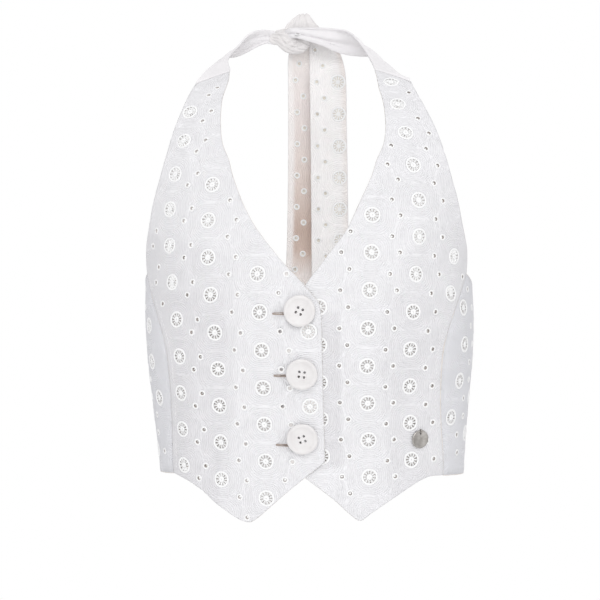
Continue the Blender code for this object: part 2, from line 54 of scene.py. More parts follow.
CLOTH = 0.0015  # thickness of the solids' panels
SEAM_GAP = 0.0004
REST_GAP = 0.0005  # between a panel and what lies on it
LAP = 0.0175  # how far each front goes past the middle
LAP_LIFT = CLOTH + REST_GAP  # of the right front, full and gone at these distances out
LAP_LIFT_FULL, LAP_LIFT_NONE = 0.022, 0.062
LAP_DROP, LAP_DROP_FROM = 0.0011, -0.012  # the lap's edge lies down on the front under it
TAG_RADIUS = 0.0077

# height, half width, y of the sides, depth to the front, depth to the back, sideways lean
FIGURE = (
    (-0.44, 0.1305, -0.083, 0.078, 0.074, 0.0),
    (-0.38, 0.1335, -0.083, 0.084, 0.084, 0.0),
    (-0.33, 0.138, -0.083, 0.092, 0.091, -0.001),
    (-0.285, 0.1425, -0.083, 0.101, 0.098, -0.0015),
    (-0.25, 0.144, -0.082, 0.106, 0.103, -0.002),
    (-0.21, 0.1437, -0.08, 0.106, 0.106, -0.0028),
    (-0.17, 0.1485, -0.077, 0.104, 0.106, -0.0025),
    (-0.14, 0.154, -0.073, 0.1, 0.094, -0.002),
    (-0.11, 0.16, -0.067, 0.095, 0.088, -0.002),
    (-0.09, 0.165, -0.061, 0.089, 0.082, -0.003),
    (-0.07, 0.17, -0.055, 0.081, 0.074, -0.0045),
    (-0.055, 0.172, -0.049, 0.072, 0.066, -0.006),
    (-0.042, 0.172, -0.044, 0.06, 0.058, -0.0065),
    (-0.03, 0.172, -0.04, 0.043, 0.05, -0.009),
    (-0.02, 0.172, -0.037, 0.02, 0.045, -0.011),
)
HALF_WIDTH, SIDE_Y, FRONT_DEPTH, BACK_DEPTH, LEAN = range(5)
SQUARENESS = 2.25  # power of the figure's rounded section

FRONT_EDGE_FOOT = -0.369
# Lines of the panels: out and height, from the front edge round, for the upper and the under front
HEM = {
    "top": (
        (-LAP, FRONT_EDGE_FOOT),
        (0.0, -0.3826), (0.02, -0.3992), (0.04, -0.4166), (0.0475, -0.4208), (0.0564, -0.4188),
        (0.067, -0.4127), (0.0775, -0.4057), (0.0884, -0.3966), (0.099, -0.3898), (0.105, -0.3868),
        (0.1153, -0.383),
    ),
    "under": (
        (-LAP, FRONT_EDGE_FOOT),
        (0.0, -0.3822), (0.0245, -0.4008), (0.04, -0.4145), (0.0475, -0.4187), (0.056, -0.4128),
        (0.074, -0.4008), (0.084, -0.3942), (0.094, -0.3878), (0.104, -0.3834), (0.1153, -0.383),
    ),
}
NECK_START = {
    "top": (
        (-LAP, -0.248),
        (-0.0163, -0.2395), (-0.013, -0.2338), (-0.0038, -0.2228), (0.004, -0.214), (0.0126, -0.2052),
        (0.0222, -0.1936), (0.031, -0.1827), (0.0385, -0.1722),
    ),
    "under": (
        (-LAP, -0.256),
        (-0.0145, -0.2455), (-0.0075, -0.237), (0.0006, -0.2285), (0.0084, -0.218), (0.0163, -0.208),
        (0.024, -0.1975), (0.0332, -0.185), (0.04, -0.1745),
    ),
}
NECK = (
    (0.0487, -0.154), (0.0575, -0.133), (0.062, -0.118), (0.068, -0.103), (0.07, -0.085), (0.069, -0.065),
    (0.0655, -0.048), (0.064, -0.034),
)
# Degrees round from the front (from the back, on the back's lines) and height
SIDE_SEAM = (
    (58.0, -0.383), (57.0, -0.365), (54.5, -0.34), (52.5, -0.305), (53.0, -0.275), (57.0, -0.254),
    (62.5, -0.237), (68.5, -0.222), (72.5, -0.213),
)
# out, height
ARMHOLE = (
    (0.1385, -0.202), (0.138, -0.19), (0.1342, -0.172), (0.1299, -0.152), (0.1241, -0.1315),
    (0.1183, -0.111), (0.1119, -0.09), (0.1035, -0.069), (0.094, -0.0465),
)
BACK_TOP = ((0.0, -0.232), (45.0, -0.231), (75.0, -0.2275), (92.0, -0.2215), (107.5, -0.213))
BACK_HEM = ((0.0, -0.388), (60.0, -0.387), (100.0, -0.3845), (122.0, -0.383))
# Broad folds, as on the solids, by side: out and height at the top and at the foot, half width, depth in
FOLDS = {
    -1: (
        (0.07, -0.265, 0.08, -0.39, 0.013, 0.0022),
        (0.093, -0.29, 0.1, -0.385, 0.011, -0.0014),
        (0.118, -0.23, 0.09, -0.26, 0.011, 0.0012),
    ),
    1: (
        (0.035, -0.26, 0.032, -0.395, 0.013, 0.0018),
        (0.098, -0.27, 0.09, -0.37, 0.015, 0.0022),
        (0.115, -0.245, 0.088, -0.26, 0.011, 0.0014),
    ),
}
# The ties' two edges, from the shoulder to the knot: x, y, z
TIES = {
    "strap_right": {
        "side": -1,
        "neck": (
            (-0.0766, -0.062, -0.0197), (-0.0759, -0.038, -0.009), (-0.0715, -0.02, 0.0011),
            (-0.0638, -0.007, 0.0124), (-0.0524, 0.0, 0.0172), (-0.0374, 0.003, 0.0152),
        ),
        "arm": (
            (-0.0905, -0.078, -0.028), (-0.0835, -0.045, -0.0165), (-0.0749, -0.015, -0.0102),
            (-0.0649, 0.003, -0.0023), (-0.05, 0.005, 0.0046), (-0.0402, 0.003, 0.003),
        ),
    },
    "strap_left": {
        "side": 1,
        "neck": (
            (0.0518, -0.066, -0.0218), (0.0416, -0.036, -0.0036), (0.03, -0.016, 0.0118),
            (0.016, -0.006, 0.0166), (0.0, -0.0086, 0.0172), (-0.016, -0.0104, 0.017),
            (-0.0255, -0.0095, 0.0168), (-0.033, -0.001, 0.0146),
        ),
        "arm": (
            (0.0778, -0.082, -0.0367), (0.0647, -0.052, -0.0217), (0.0525, -0.022, -0.012),
            (0.0391, -0.004, -0.0085), (0.0203, 0.0, -0.0055), (0.004, -0.006, 0.001),
            (-0.012, -0.01, 0.0062), (-0.021, -0.0096, 0.0086), (-0.03, -0.0015, 0.0094),
        ),
    },
}
TIE_LEAVES = 0.006  # how far a tie goes straight on from its front
TIE_FOLD_DEPTH = 0.0011
TIE_FOLD_SHARE = {-1: 0.4, 1: 0.8}  # of that depth, by side
TIE_CROWN = 0.0015  # how far a tie bulges between its edges
# The knot's two lumps, gathered tubes: x, y, z, half width, half thickness, direction of the width
KNOT_CORE = (
    (-0.045, 0.0025, 0.0105, 0.0045, 0.0006, (-0.15, 0.0, 1.0)),
    (-0.041, 0.0022, 0.0098, 0.0062, 0.0022, (-0.1, 0.0, 1.0)),
    (-0.036, 0.0008, 0.0096, 0.0078, 0.0044, (0.1, 0.0, 1.0)),
    (-0.031, -0.0006, 0.0084, 0.0102, 0.0064, (0.25, 0.0, 1.0)),
    (-0.0255, -0.0011, 0.0066, 0.0118, 0.0072, (0.4, 0.0, 0.9)),
    (-0.02, -0.001, 0.0054, 0.0118, 0.007, (0.45, 0.0, 0.9)),
    (-0.015, -0.0008, 0.0044, 0.0104, 0.0066, (0.5, 0.0, 0.9)),
    (-0.0112, -0.0002, 0.0038, 0.008, 0.0056, (0.5, 0.0, 0.9)),
    (-0.009, 0.0008, 0.0034, 0.0048, 0.0034, (0.5, 0.0, 0.9)),
    (-0.0082, 0.0012, 0.0032, 0.002, 0.0016, (0.5, 0.0, 0.9)),
)
KNOT_WRAP = (
    (-0.0155, -0.0058, 0.014, 0.0156, 0.001, (1.0, 0.0, 0.0)),
    (-0.0148, -0.0056, 0.0186, 0.0142, 0.0016, (1.0, 0.0, 0.0)),
    (-0.0143, -0.0054, 0.0228, 0.011, 0.0024, (1.0, 0.0, 0.0)),
    (-0.0138, -0.0034, 0.0268, 0.0078, 0.0034, (1.0, 0.0, 0.05)),
    (-0.0138, 0.002, 0.0288, 0.0064, 0.0036, (1.0, 0.0, 0.05)),
    (-0.0138, 0.0072, 0.0262, 0.0088, 0.0034, (1.0, 0.0, 0.05)),
    (-0.0135, 0.0104, 0.0205, 0.013, 0.003, (1.0, 0.0, 0.0)),
    (-0.012, 0.0112, 0.014, 0.014, 0.0024, (1.0, 0.0, 0.0)),
    (-0.009, 0.0112, 0.008, 0.0115, 0.0018, (1.0, 0.0, 0.0)),
)
# The hanging ends: height, x and y of the wearer's right edge, x and y of the left edge
TAILS = {
    "tail_left": (
        (0.0068, -0.0086, 0.0118, 0.0142, 0.0118),
        (-0.005, -0.0086, 0.0124, 0.0205, 0.012),
        (-0.024, -0.0082, 0.0138, 0.0252, 0.0132),
        (-0.07, -0.008, 0.0204, 0.026, 0.0202),
        (-0.12, -0.0078, 0.0254, 0.0266, 0.0252),
        (-0.18, -0.0075, 0.0274, 0.0272, 0.0274),
        (-0.23, -0.0072, 0.0278, 0.0276, 0.0278),
        (-0.268, -0.007, 0.0266, 0.0274, 0.0268),
    ),
    "tail_right": (
        (0.003, -0.0262, 0.0062, -0.0075, 0.015),
        (-0.0093, -0.0286, 0.0092, -0.006, 0.0165),
        (-0.025, -0.0288, 0.0148, -0.003, 0.02),
        (-0.04, -0.029, 0.0188, 0.002, 0.0232),
        (-0.07, -0.0294, 0.0245, 0.0048, 0.0268),
        (-0.12, -0.03, 0.03, 0.0044, 0.0308),
        (-0.18, -0.0312, 0.0322, 0.0034, 0.0324),
        (-0.23, -0.0332, 0.0324, 0.002, 0.0326),
        (-0.274, -0.034, 0.0312, 0.0012, 0.0314),
    ),
}
# name, x, height, turn in degrees
BUTTONS = (
    ("button_top", -0.002, -0.244, -26.0),
    ("button_middle", -0.0006, -0.295, -8.0),
    ("button_bottom", -0.001, -0.349, 18.0),
)
# radius, height
BUTTON_SECTION = (
    (0.0, 0.003), (0.0092, 0.0031), (0.0103, 0.0036), (0.0116, 0.0037), (0.0127, 0.0031), (0.013, 0.0021),
    (0.0125, 0.0009), (0.0105, 0.0), (0.0, 0.0),
)
BUTTON_HOLE = 0.0011  # radius
BUTTON_HOLE_SPACING = 0.0042
TAG_OUT, TAG_HEIGHT = 0.0968, -0.3515

# Finer creases of the fronts, in scene.py alone, by side: places (out, height), half width, depth in
CREASES = {
    -1: (
        (((0.0814, -0.1951), (0.0646, -0.2036), (0.0598, -0.2432), (0.0657, -0.3018), (0.0722, -0.3948)),
         0.0055, 0.0011),
        (((0.053, -0.205), (0.05, -0.2432), (0.0555, -0.3018), (0.062, -0.3948)), 0.005, -0.0008),
        (((0.1243, -0.1805), (0.0979, -0.1873), (0.0805, -0.1951)), 0.005, 0.0009),
        (((0.1035, -0.0852), (0.0924, -0.1596)), 0.0045, -0.0008),
        (((0.096, -0.0852), (0.086, -0.15)), 0.0035, 0.0006),
        (((0.0242, -0.2497), (0.0412, -0.2571)), 0.0022, 0.0004),
        (((0.0257, -0.24), (0.045, -0.235)), 0.0022, 0.0004),
        (((0.0255, -0.3035), (0.04, -0.309)), 0.002, 0.0004),
        (((0.106, -0.23), (0.09, -0.245), (0.084, -0.27)), 0.004, 0.0007),
        (((-0.0025, -0.2585), (-0.0036, -0.268)), 0.0012, 0.0005),
        (((-0.0066, -0.2588), (-0.008, -0.27)), 0.0012, 0.0005),
        (((-0.012, -0.2577), (-0.0128, -0.265)), 0.0012, 0.0005),
        (((-0.0013, -0.3093), (-0.0019, -0.316)), 0.0012, 0.0004),
        (((-0.0125, -0.3063), (-0.0147, -0.3135)), 0.0012, 0.0005),
        (((-0.007, -0.3625), (-0.009, -0.372)), 0.0014, 0.0005),
    ),
    1: (
        (((0.0903, -0.1937), (0.0738, -0.2284), (0.0668, -0.2514), (0.0665, -0.3176), (0.068, -0.3596)),
         0.0055, 0.0011),
        (((0.056, -0.245), (0.056, -0.3176), (0.058, -0.365)), 0.005, -0.0007),
        (((0.076, -0.225), (0.1023, -0.1644)), 0.006, -0.0009),
        (((0.0415, -0.2006), (0.0693, -0.1566)), 0.005, -0.0007),
        (((0.024, -0.242), (0.0262, -0.2843), (0.025, -0.3342), (0.024, -0.372)), 0.006, 0.0019),
        (((0.115, -0.15), (0.105, -0.19), (0.098, -0.23)), 0.006, 0.0008),
        (((0.093, -0.09), (0.096, -0.14)), 0.004, 0.0006),
        (((0.108, -0.245), (0.115, -0.27), (0.108, -0.3)), 0.0035, 0.0006),
    ),
}

# ---- Sizes of the embroidery ---------------------------------------------------------------------

SHELL = 0.0007  # thickness of the cloth that shows
MESH_STEP = 0.0021  # spacing of the cloth's points
PITCH_UP = 0.0313
WHEEL_HOLE = 0.0055  # radius cut out of the cloth
WHEEL_HUB = 0.0025
WHEEL_SPOKES = 11
WHEEL_RING = 0.0009  # half the width of the satin ring round the hole
EYELET_HOLE = 0.00165
EYELET_RING = 0.0007
EYELET_FUNNEL = ((0.0019, 0.0003), (0.0013, 0.0007), (0.00085, 0.0014), (0.0019, 0.0012))  # radius, depth
RIPPLE_POWER = 2.6  # squareness of the rows of stitching round a wheel
EYELET_ZIGZAG = 0.0033  # how far a small eyelet moves away from the wheel in its row
HEM_FOLD = 0.0045  # width of the turned edge
SATIN_HEIGHT = 0.00045
# Half widths of a wheel's threads at the hub, midway and at the ring: face, other face, doubled cloth
SPOKE, UNDER_SPOKE = (0.0005, 0.00058, 0.00085), (0.0003, 0.00034, 0.0005)
DOUBLED_SPOKE = (0.00034, 0.00044, 0.00046)
SPOKE_THICKNESS = 0.00032  # half
SPOKE_RADII = (WHEEL_HUB * 0.8, 0.004, WHEEL_HOLE + 0.0002)
UNDER_DEPTH = 0.0009  # of the other face's threads
LOOP_SIZE = (0.00034, 0.0003)  # half width and height of the satin round a buttonhole
STITCH, STITCH_GAP, STITCH_RADIUS = 0.0024, 0.0009, 0.00022

# Columns of wheels on each panel: across, and the height of one wheel, up. Neighbours are a half drop.
COLUMNS = {
    "front_right": (
        (0.0447, 0.0515), (0.0065, 0.0359), (-0.0318, 0.0515), (-0.072, 0.0345), (-0.109, 0.0452),
        (-0.147, 0.027),
    ),
    "front_left": (
        (-0.021, 0.0382), (0.015, 0.0556), (0.0544, 0.0382), (0.092, 0.0517), (0.129, 0.0358),
        (0.167, 0.05),
    ),
    "back": tuple((0.0363 * (k + 0.5), 0.0395 + (PITCH_UP / 2 if k % 2 else 0.0)) for k in range(-7, 7)),
}
# The embroidery's columns draw together and spread with the darts: up, factor on across
SPREAD = (
    (0.0, 1.0), (0.13, 1.0), (0.17, 1.03), (0.2, 1.07), (0.235, 1.1), (0.269, 1.085),
    (0.29, 1.05), (0.306, 1.01), (0.321, 0.97), (0.341, 0.935), (0.378, 0.865), (0.42, 0.8),
)


# ---- Smooth lines and tables ---------------------------------------------------------------------


def hermite(a, b, slope_a, slope_b, t):
    return (
        a * (2 * t**3 - 3 * t**2 + 1)
        + slope_a * (t**3 - 2 * t**2 + t)
        + b * (3 * t**2 - 2 * t**3)
        + slope_b * (t**3 - t**2)
    )


def look_up(table, key, column):
    """The value in a column at a key between rows, on a smooth curve through the rows."""
    keys = [row[0] for row in table]
    values = [row[column] for row in table]
    if keys[0] > keys[-1]:
        keys.reverse()
        values.reverse()
    last = len(keys) - 1
    i = min(max(sum(k <= key for k in keys) - 1, 0), last - 1)

    def slope(k):
        low, high = max(k - 1, 0), min(k + 1, last)
        return (values[high] - values[low]) / (keys[high] - keys[low])

    span = keys[i + 1] - keys[i]
    t = (key - keys[i]) / span
    return hermite(values[i], values[i + 1], slope(i) * span, slope(i + 1) * span, t)


def smooth_line(points, steps=10):
    points = [Vector(p) for p in points]
    last = len(points) - 1
    line = []
    for i in range(last):
        before, after = points[max(i - 1, 0)], points[min(i + 2, last)]
        slope_a = (points[i + 1] - before) / 2
        slope_b = (after - points[i]) / 2
        for k in range(steps):
            line.append(hermite(points[i], points[i + 1], slope_a, slope_b, k / steps))
    line.append(points[-1])
    return line


def line_length(line):
    return sum((b - a).length for a, b in zip(line, line[1:]))


def along(line, fraction):
    """The point at a fraction of a line's length."""
    lengths = [(b - a).length for a, b in zip(line, line[1:])]
    left = min(max(fraction, 0.0), 1.0) * sum(lengths)
    for a, b, length in zip(line, line[1:], lengths):
        if left <= length:
            return a.lerp(b, left / length)
        left -= length
    return line[-1].copy()


def nearest_on(places, x, y, reach):
    """Distance from a flat point to a line through places, and how far along the line the nearest is."""
    lows = [min(place[k] for place in places) - reach for k in (0, 1)]
    highs = [max(place[k] for place in places) + reach for k in (0, 1)]
    if not (lows[0] < x < highs[0] and lows[1] < y < highs[1]):
        return 2 * reach, 0.0
    best, share = 2 * reach, 0.0
    for k, ((x1, y1), (x2, y2)) in enumerate(zip(places, places[1:])):
        run_x, run_y = x2 - x1, y2 - y1
        t = min(max(((x - x1) * run_x + (y - y1) * run_y) / (run_x**2 + run_y**2), 0.0), 1.0)
        away = math.hypot(x - x1 - t * run_x, y - y1 - t * run_y)
        if away < best:
            best, share = away, (k + t) / (len(places) - 1)
    return best, share


def ease(value):
    value = min(max(value, 0.0), 1.0)
    return value * value * (3 - 2 * value)


def mix(a, b, t):
    return a + (b - a) * t


# ---- The figure ----------------------------------------------------------------------------------


@lru_cache(maxsize=None)
def figure_row(height):
    return tuple(look_up(FIGURE, height, column) for column in range(1, 6))


def power(value):
    return math.copysign(abs(value) ** (2 / SQUARENESS), value)


def figure_point(angle, height):
    row = figure_row(height)
    turn = math.radians(angle)
    depth = row[FRONT_DEPTH] if math.cos(turn) > 0 else row[BACK_DEPTH]
    return Vector((
        row[LEAN] + row[HALF_WIDTH] * power(math.sin(turn)),
        row[SIDE_Y] - depth * power(math.cos(turn)),
        height,
    ))


def figure_normal(angle, height):
    step, rise = 1.5, 0.002
    across = figure_point(angle + step, height) - figure_point(angle - step, height)
    up = figure_point(angle, height + rise) - figure_point(angle, height - rise)
    return across.cross(up).normalized()


def angle_of(out, height):
    reach = min(abs(out) / figure_row(height)[HALF_WIDTH], 0.999)
    return math.copysign(math.degrees(math.asin(reach ** (SQUARENESS / 2))), out)


def out_of(angle, height):
    return figure_row(height)[HALF_WIDTH] * power(math.sin(math.radians(angle)))


def bell(value):
    return math.exp(-(value ** 2))


def fold_depth(side, out, height):
    depth = 0.0
    for out_top, top, out_foot, foot, half_width, full in FOLDS[side]:
        t = (top - height) / (top - foot)
        middle = mix(out_top, out_foot, min(max(t, 0.0), 1.0))
        ends = ease(t / 0.3 + 0.5) * ease((1 - t) / 0.3 + 0.5)
        depth += full * ends * bell((out - middle) / half_width)
    return depth


def crease_depth(creases, x, y, fade=4, begun=0.2):
    """How far creases draw the cloth in at a place. They fade at their ends."""
    depth = 0.0
    for places, half_width, full in creases:
        away, share = nearest_on(places, x, y, 3 * half_width)
        if away < 3 * half_width:
            ends = ease(share * fade + begun) * ease((1 - share) * fade)
            depth += full * ends * bell(away / half_width)
    return depth


def front_surface(side, angle, height, extra=0.0):
    """A point on a front's outer face, and extra metres out from it. The angle is to its own side."""
    out = out_of(angle, height)
    creases = crease_depth(CREASES[side], out, height, fade=5, begun=0.0)
    rise = extra - fold_depth(side, out, height) - creases
    if side < 0:
        rise += LAP_LIFT * ease((LAP_LIFT_NONE - out) / (LAP_LIFT_NONE - LAP_LIFT_FULL))
        rise -= LAP_DROP * ease((LAP_DROP_FROM - out) / (LAP_DROP_FROM + LAP))
    return figure_point(side * angle, height) + figure_normal(side * angle, height) * rise


# ---- Flat places on the figure -------------------------------------------------------------------

FIGURE_FOOT = -0.42
LEVELS = [FIGURE_FOOT - 0.004 + 0.005 * k for k in range(80)]
ANGLES = [2.0 * k for k in range(91)]
PROFILE_ANGLE = 25.0  # the meridian along which up is measured


def running_lengths(points):
    lengths = [0.0]
    for a, b in zip(points, points[1:]):
        lengths.append(lengths[-1] + (b - a).length)
    return lengths


ARCS = [running_lengths([figure_point(angle, level) for angle in ANGLES]) for level in LEVELS]
PROFILE = running_lengths([figure_point(PROFILE_ANGLE, level) for level in LEVELS])
PROFILE_FOOT = float(np.interp(FIGURE_FOOT, LEVELS, PROFILE))


def up_of(height):
    return float(np.interp(height, LEVELS, PROFILE)) - PROFILE_FOOT


@lru_cache(maxsize=None)
def height_at(up):
    return float(np.interp(up + PROFILE_FOOT, PROFILE, LEVELS))


def level_of(height):
    """The row of LEVELS below a height, and how far on it is towards the next."""
    place = (height - LEVELS[0]) / (LEVELS[1] - LEVELS[0])
    row = min(max(int(place), 0), len(LEVELS) - 2)
    return row, place - row


def across_of(angle, height):
    """Distance round the figure from the centre front to an angle."""
    row, t = level_of(height)
    lower, upper = (float(np.interp(abs(angle), ANGLES, ARCS[k])) for k in (row, row + 1))
    return math.copysign(mix(lower, upper, t), angle)


def angle_at(across, height):
    row, t = level_of(height)
    lower, upper = (float(np.interp(abs(across), ARCS[k], ANGLES)) for k in (row, row + 1))
    return math.copysign(mix(lower, upper, t), across)


# ---- Outlines of the panels, flat ----------------------------------------------------------------


def side_seam(height):
    return look_up([(row_height, angle) for angle, row_height in SIDE_SEAM], height, 1)


def seam_heights(steps=40):
    low, high = SIDE_SEAM[0][1], SIDE_SEAM[-1][1]
    return [mix(low, high, k / steps) for k in range(steps + 1)]


def front_outline(side):
    """A front's outline: hem, side seam, armhole, top, neckline and front edge, as (across, up)."""
    layer = "top" if side < 0 else "under"
    hem_angles = (angle_of(-LAP, FRONT_EDGE_FOOT), SIDE_SEAM[0][0])
    turns = [mix(*hem_angles, k / 72) for k in range(72)]
    hem = [(turn, look_up(HEM[layer], out_of(turn, FRONT_EDGE_FOOT), 1)) for turn in turns]
    seam = [(side_seam(height), height) for height in seam_heights()]
    start = (out_of(*SIDE_SEAM[-1]), SIDE_SEAM[-1][1])
    arm, neck = (
        [(angle_of(p.x, p.y), p.y) for p in smooth_line([(*spot, 0.0) for spot in line], 6)]
        for line in ((start,) + ARMHOLE, NECK_START[layer] + NECK)
    )
    top = [tuple(mix(a, b, k / 12) for a, b in zip(arm[-1], neck[-1])) for k in range(1, 12)]
    edge_heights = [mix(neck[0][1], FRONT_EDGE_FOOT, k / 50) for k in range(1, 50)]
    edge = [(angle_of(-LAP, height), height) for height in edge_heights]
    outline = hem + seam + arm[1:] + top + neck[::-1] + edge
    return [(side * across_of(angle, height), up_of(height)) for angle, height in outline]


def back_outline():
    """The back's outline, as (across from the centre back, up), from the left seam's foot round."""
    half = []
    for height in seam_heights():
        gap = math.degrees(SEAM_GAP / figure_row(height)[HALF_WIDTH])
        half.append((180.0 - side_seam(height) - 1.5 * gap, height))
    top = [mix(half[-1][0], 0.0, k / 50) for k in range(1, 51)]
    top = [(angle, look_up(BACK_TOP, min(angle, BACK_TOP[-1][0]), 1)) for angle in top]
    hem = [mix(0.0, half[0][0], k / 50) for k in range(1, 50)]
    hem = [(angle, look_up(BACK_HEM, min(angle, BACK_HEM[-1][0]), 1)) for angle in hem]
    left = half + top  # from the left seam's foot up and over to the centre back
    right = [(-angle, height) for angle, height in reversed(left[:-1])]
    foot = [(-a, h) for a, h in reversed(hem)] + [(0.0, BACK_HEM[0][1])] + hem
    return [back_flat(angle, height) for angle, height in left + right + foot]


def back_flat(from_back, height):
    """Flat place of an angle from the centre back, counted towards the wearer's left."""
    full = across_of(180.0, height)
    return math.copysign(full - across_of(180.0 - abs(from_back), height), from_back), up_of(height)


def front_place(side):
    def place(across, up):
        height = height_at(up)
        return front_surface(side, side * angle_at(across, height), height)

    return place


def back_place(across, up):
    height = height_at(up)
    full = across_of(180.0, height)
    # across runs from the wearer's right to their left as seen from behind, so that faces point out
    angle = angle_at(full - abs(across), height)
    return figure_point(math.copysign(angle, across), height)


# ---- Flat sheets with eyelets --------------------------------------------------------------------


def inside(points, outline):
    """Which flat points are inside an outline."""
    x, y = points[:, 0], points[:, 1]
    result = np.zeros(len(points), bool)
    for (x1, y1), (x2, y2) in zip(outline, np.roll(outline, -1, axis=0)):
        if y1 != y2:
            crosses = (y1 > y) != (y2 > y)
            result ^= crosses & (x < (x2 - x1) * (y - y1) / (y2 - y1) + x1)
    return result


def edge_distance(points, outline):
    """Distance from flat points to an outline."""
    best = np.full(len(points), 1.0)
    for start, end in zip(outline, np.roll(outline, -1, axis=0)):
        run = end - start
        t = np.clip(((points - start) @ run) / max(run @ run, 1e-12), 0.0, 1.0)
        best = np.minimum(best, np.linalg.norm(points - start - t[:, None] * run, axis=1))
    return best


def spread(up):
    return look_up(SPREAD, min(max(up, 0.0), SPREAD[-1][0]), 1)


def lattice(columns, highest, pitch, spread_out=True):
    """Centres of the wheels and of the small eyelets between their columns, before any is left out."""
    wheels, small = [], []
    for k, (across, first) in enumerate(columns):
        up = first - 2 * pitch
        while up < highest:
            factor = spread(up) if spread_out else 1.0
            wheels.append((across * factor, up))
            for other in (k - 1, k + 1):
                if 0 <= other < len(columns):
                    away = math.copysign(EYELET_ZIGZAG, columns[other][0] - across)
                    small.append((((columns[other][0] + across) / 2 + away) * factor, up))
            up += pitch
    return wheels, small


def keep_clear(centres, outline, margin):
    """The centres that are inside an outline by a margin."""
    if not centres:
        return []
    points = np.array(centres)
    good = inside(points, outline) & (edge_distance(points, outline) > margin)
    return [tuple(p) for p in points[good]]


class Patch:
    """The neighbourhood of a flat place on a surface, as a quadratic with true lengths."""

    def __init__(self, place, across, up, step=0.004):
        def at(i, j):
            return place(across + i * step, up + j * step)

        centre = at(0, 0)
        self.flat = (across, up)
        self.centre = centre
        self.first = ((at(1, 0) - at(-1, 0)) / (2 * step), (at(0, 1) - at(0, -1)) / (2 * step))
        self.second = (
            (at(1, 0) + at(-1, 0) - 2 * centre) / step**2,
            (at(0, 1) + at(0, -1) - 2 * centre) / step**2,
            (at(1, 1) - at(1, -1) - at(-1, 1) + at(-1, -1)) / (4 * step**2),
        )
        run, rise = self.first
        self.normal = run.cross(rise).normalized()
        side = run.normalized()
        self.scale = run.length
        self.skew = rise.dot(side)
        self.lift = rise.dot(self.normal.cross(side))

    def offset(self, x, y):
        """The change of flat place that moves x and y metres along the cloth."""
        up = y / self.lift
        return (x - self.skew * up) / self.scale, up

    def flat_at(self, x, y):
        across, up = self.offset(x, y)
        return self.flat[0] + across, self.flat[1] + up

    def point(self, x, y, height):
        """The point x and y metres away along the cloth, and height metres out from it."""
        a, u = self.offset(x, y)
        run, rise = self.first
        return (
            self.centre + run * a + rise * u
            + self.second[0] * (a * a / 2) + self.second[1] * (u * u / 2) + self.second[2] * (a * u)
            + self.normal * height
        )


def circle(radius, count, turn=0.0):
    angles = [turn + 2 * math.pi * k / count for k in range(count)]
    return [(radius * math.cos(angle), radius * math.sin(angle)) for angle in angles]


def hex_grid(outline, step):
    low, high = outline.min(axis=0), outline.max(axis=0)
    rows = int((high[1] - low[1]) / (step * ROW_SPACING)) + 1
    columns = int((high[0] - low[0]) / step) + 2
    return np.array([
        (low[0] + (column + 0.5 * (row % 2)) * step, low[1] + row * step * ROW_SPACING)
        for row in range(rows)
        for column in range(columns)
    ])


ROW_SPACING = 0.866  # of the grid's rows, in steps
EDGE_ROWS = (0.001, 0.0024, 0.0038, 0.0052)  # rows of points that follow the outline, in from it


def edge_row(outline, inset):
    """The outline moved in, less the points that come too near it at a corner."""
    run = np.roll(outline, -1, axis=0) - np.roll(outline, 1, axis=0)
    run /= np.linalg.norm(run, axis=1)[:, None]
    row = outline + inset * np.column_stack((-run[:, 1], run[:, 0]))
    return row[inside(row, outline) & (edge_distance(row, outline) > 0.93 * inset)]


def ripple_distance(points, wheels):
    """Distance to the nearest wheel, in a rounded-square measure, as the rows of stitching follow it."""
    best = np.full(len(points), 1.0)
    for centre in wheels:
        away = np.abs(points - np.array(centre))
        sums = away[:, 0] ** RIPPLE_POWER + away[:, 1] ** RIPPLE_POWER
        best = np.minimum(best, sums ** (1 / RIPPLE_POWER))
    return best


def object_from(name, verts, faces, material, smooth=True):
    mesh = bpy.data.meshes.new(name)
    mesh.from_pydata([tuple(v) for v in verts], [], faces)
    if smooth:
        mesh.shade_smooth()
    mesh.materials.append(material)
    piece = bpy.data.objects.new(name, mesh)
    bpy.context.scene.collection.objects.link(piece)
    return piece


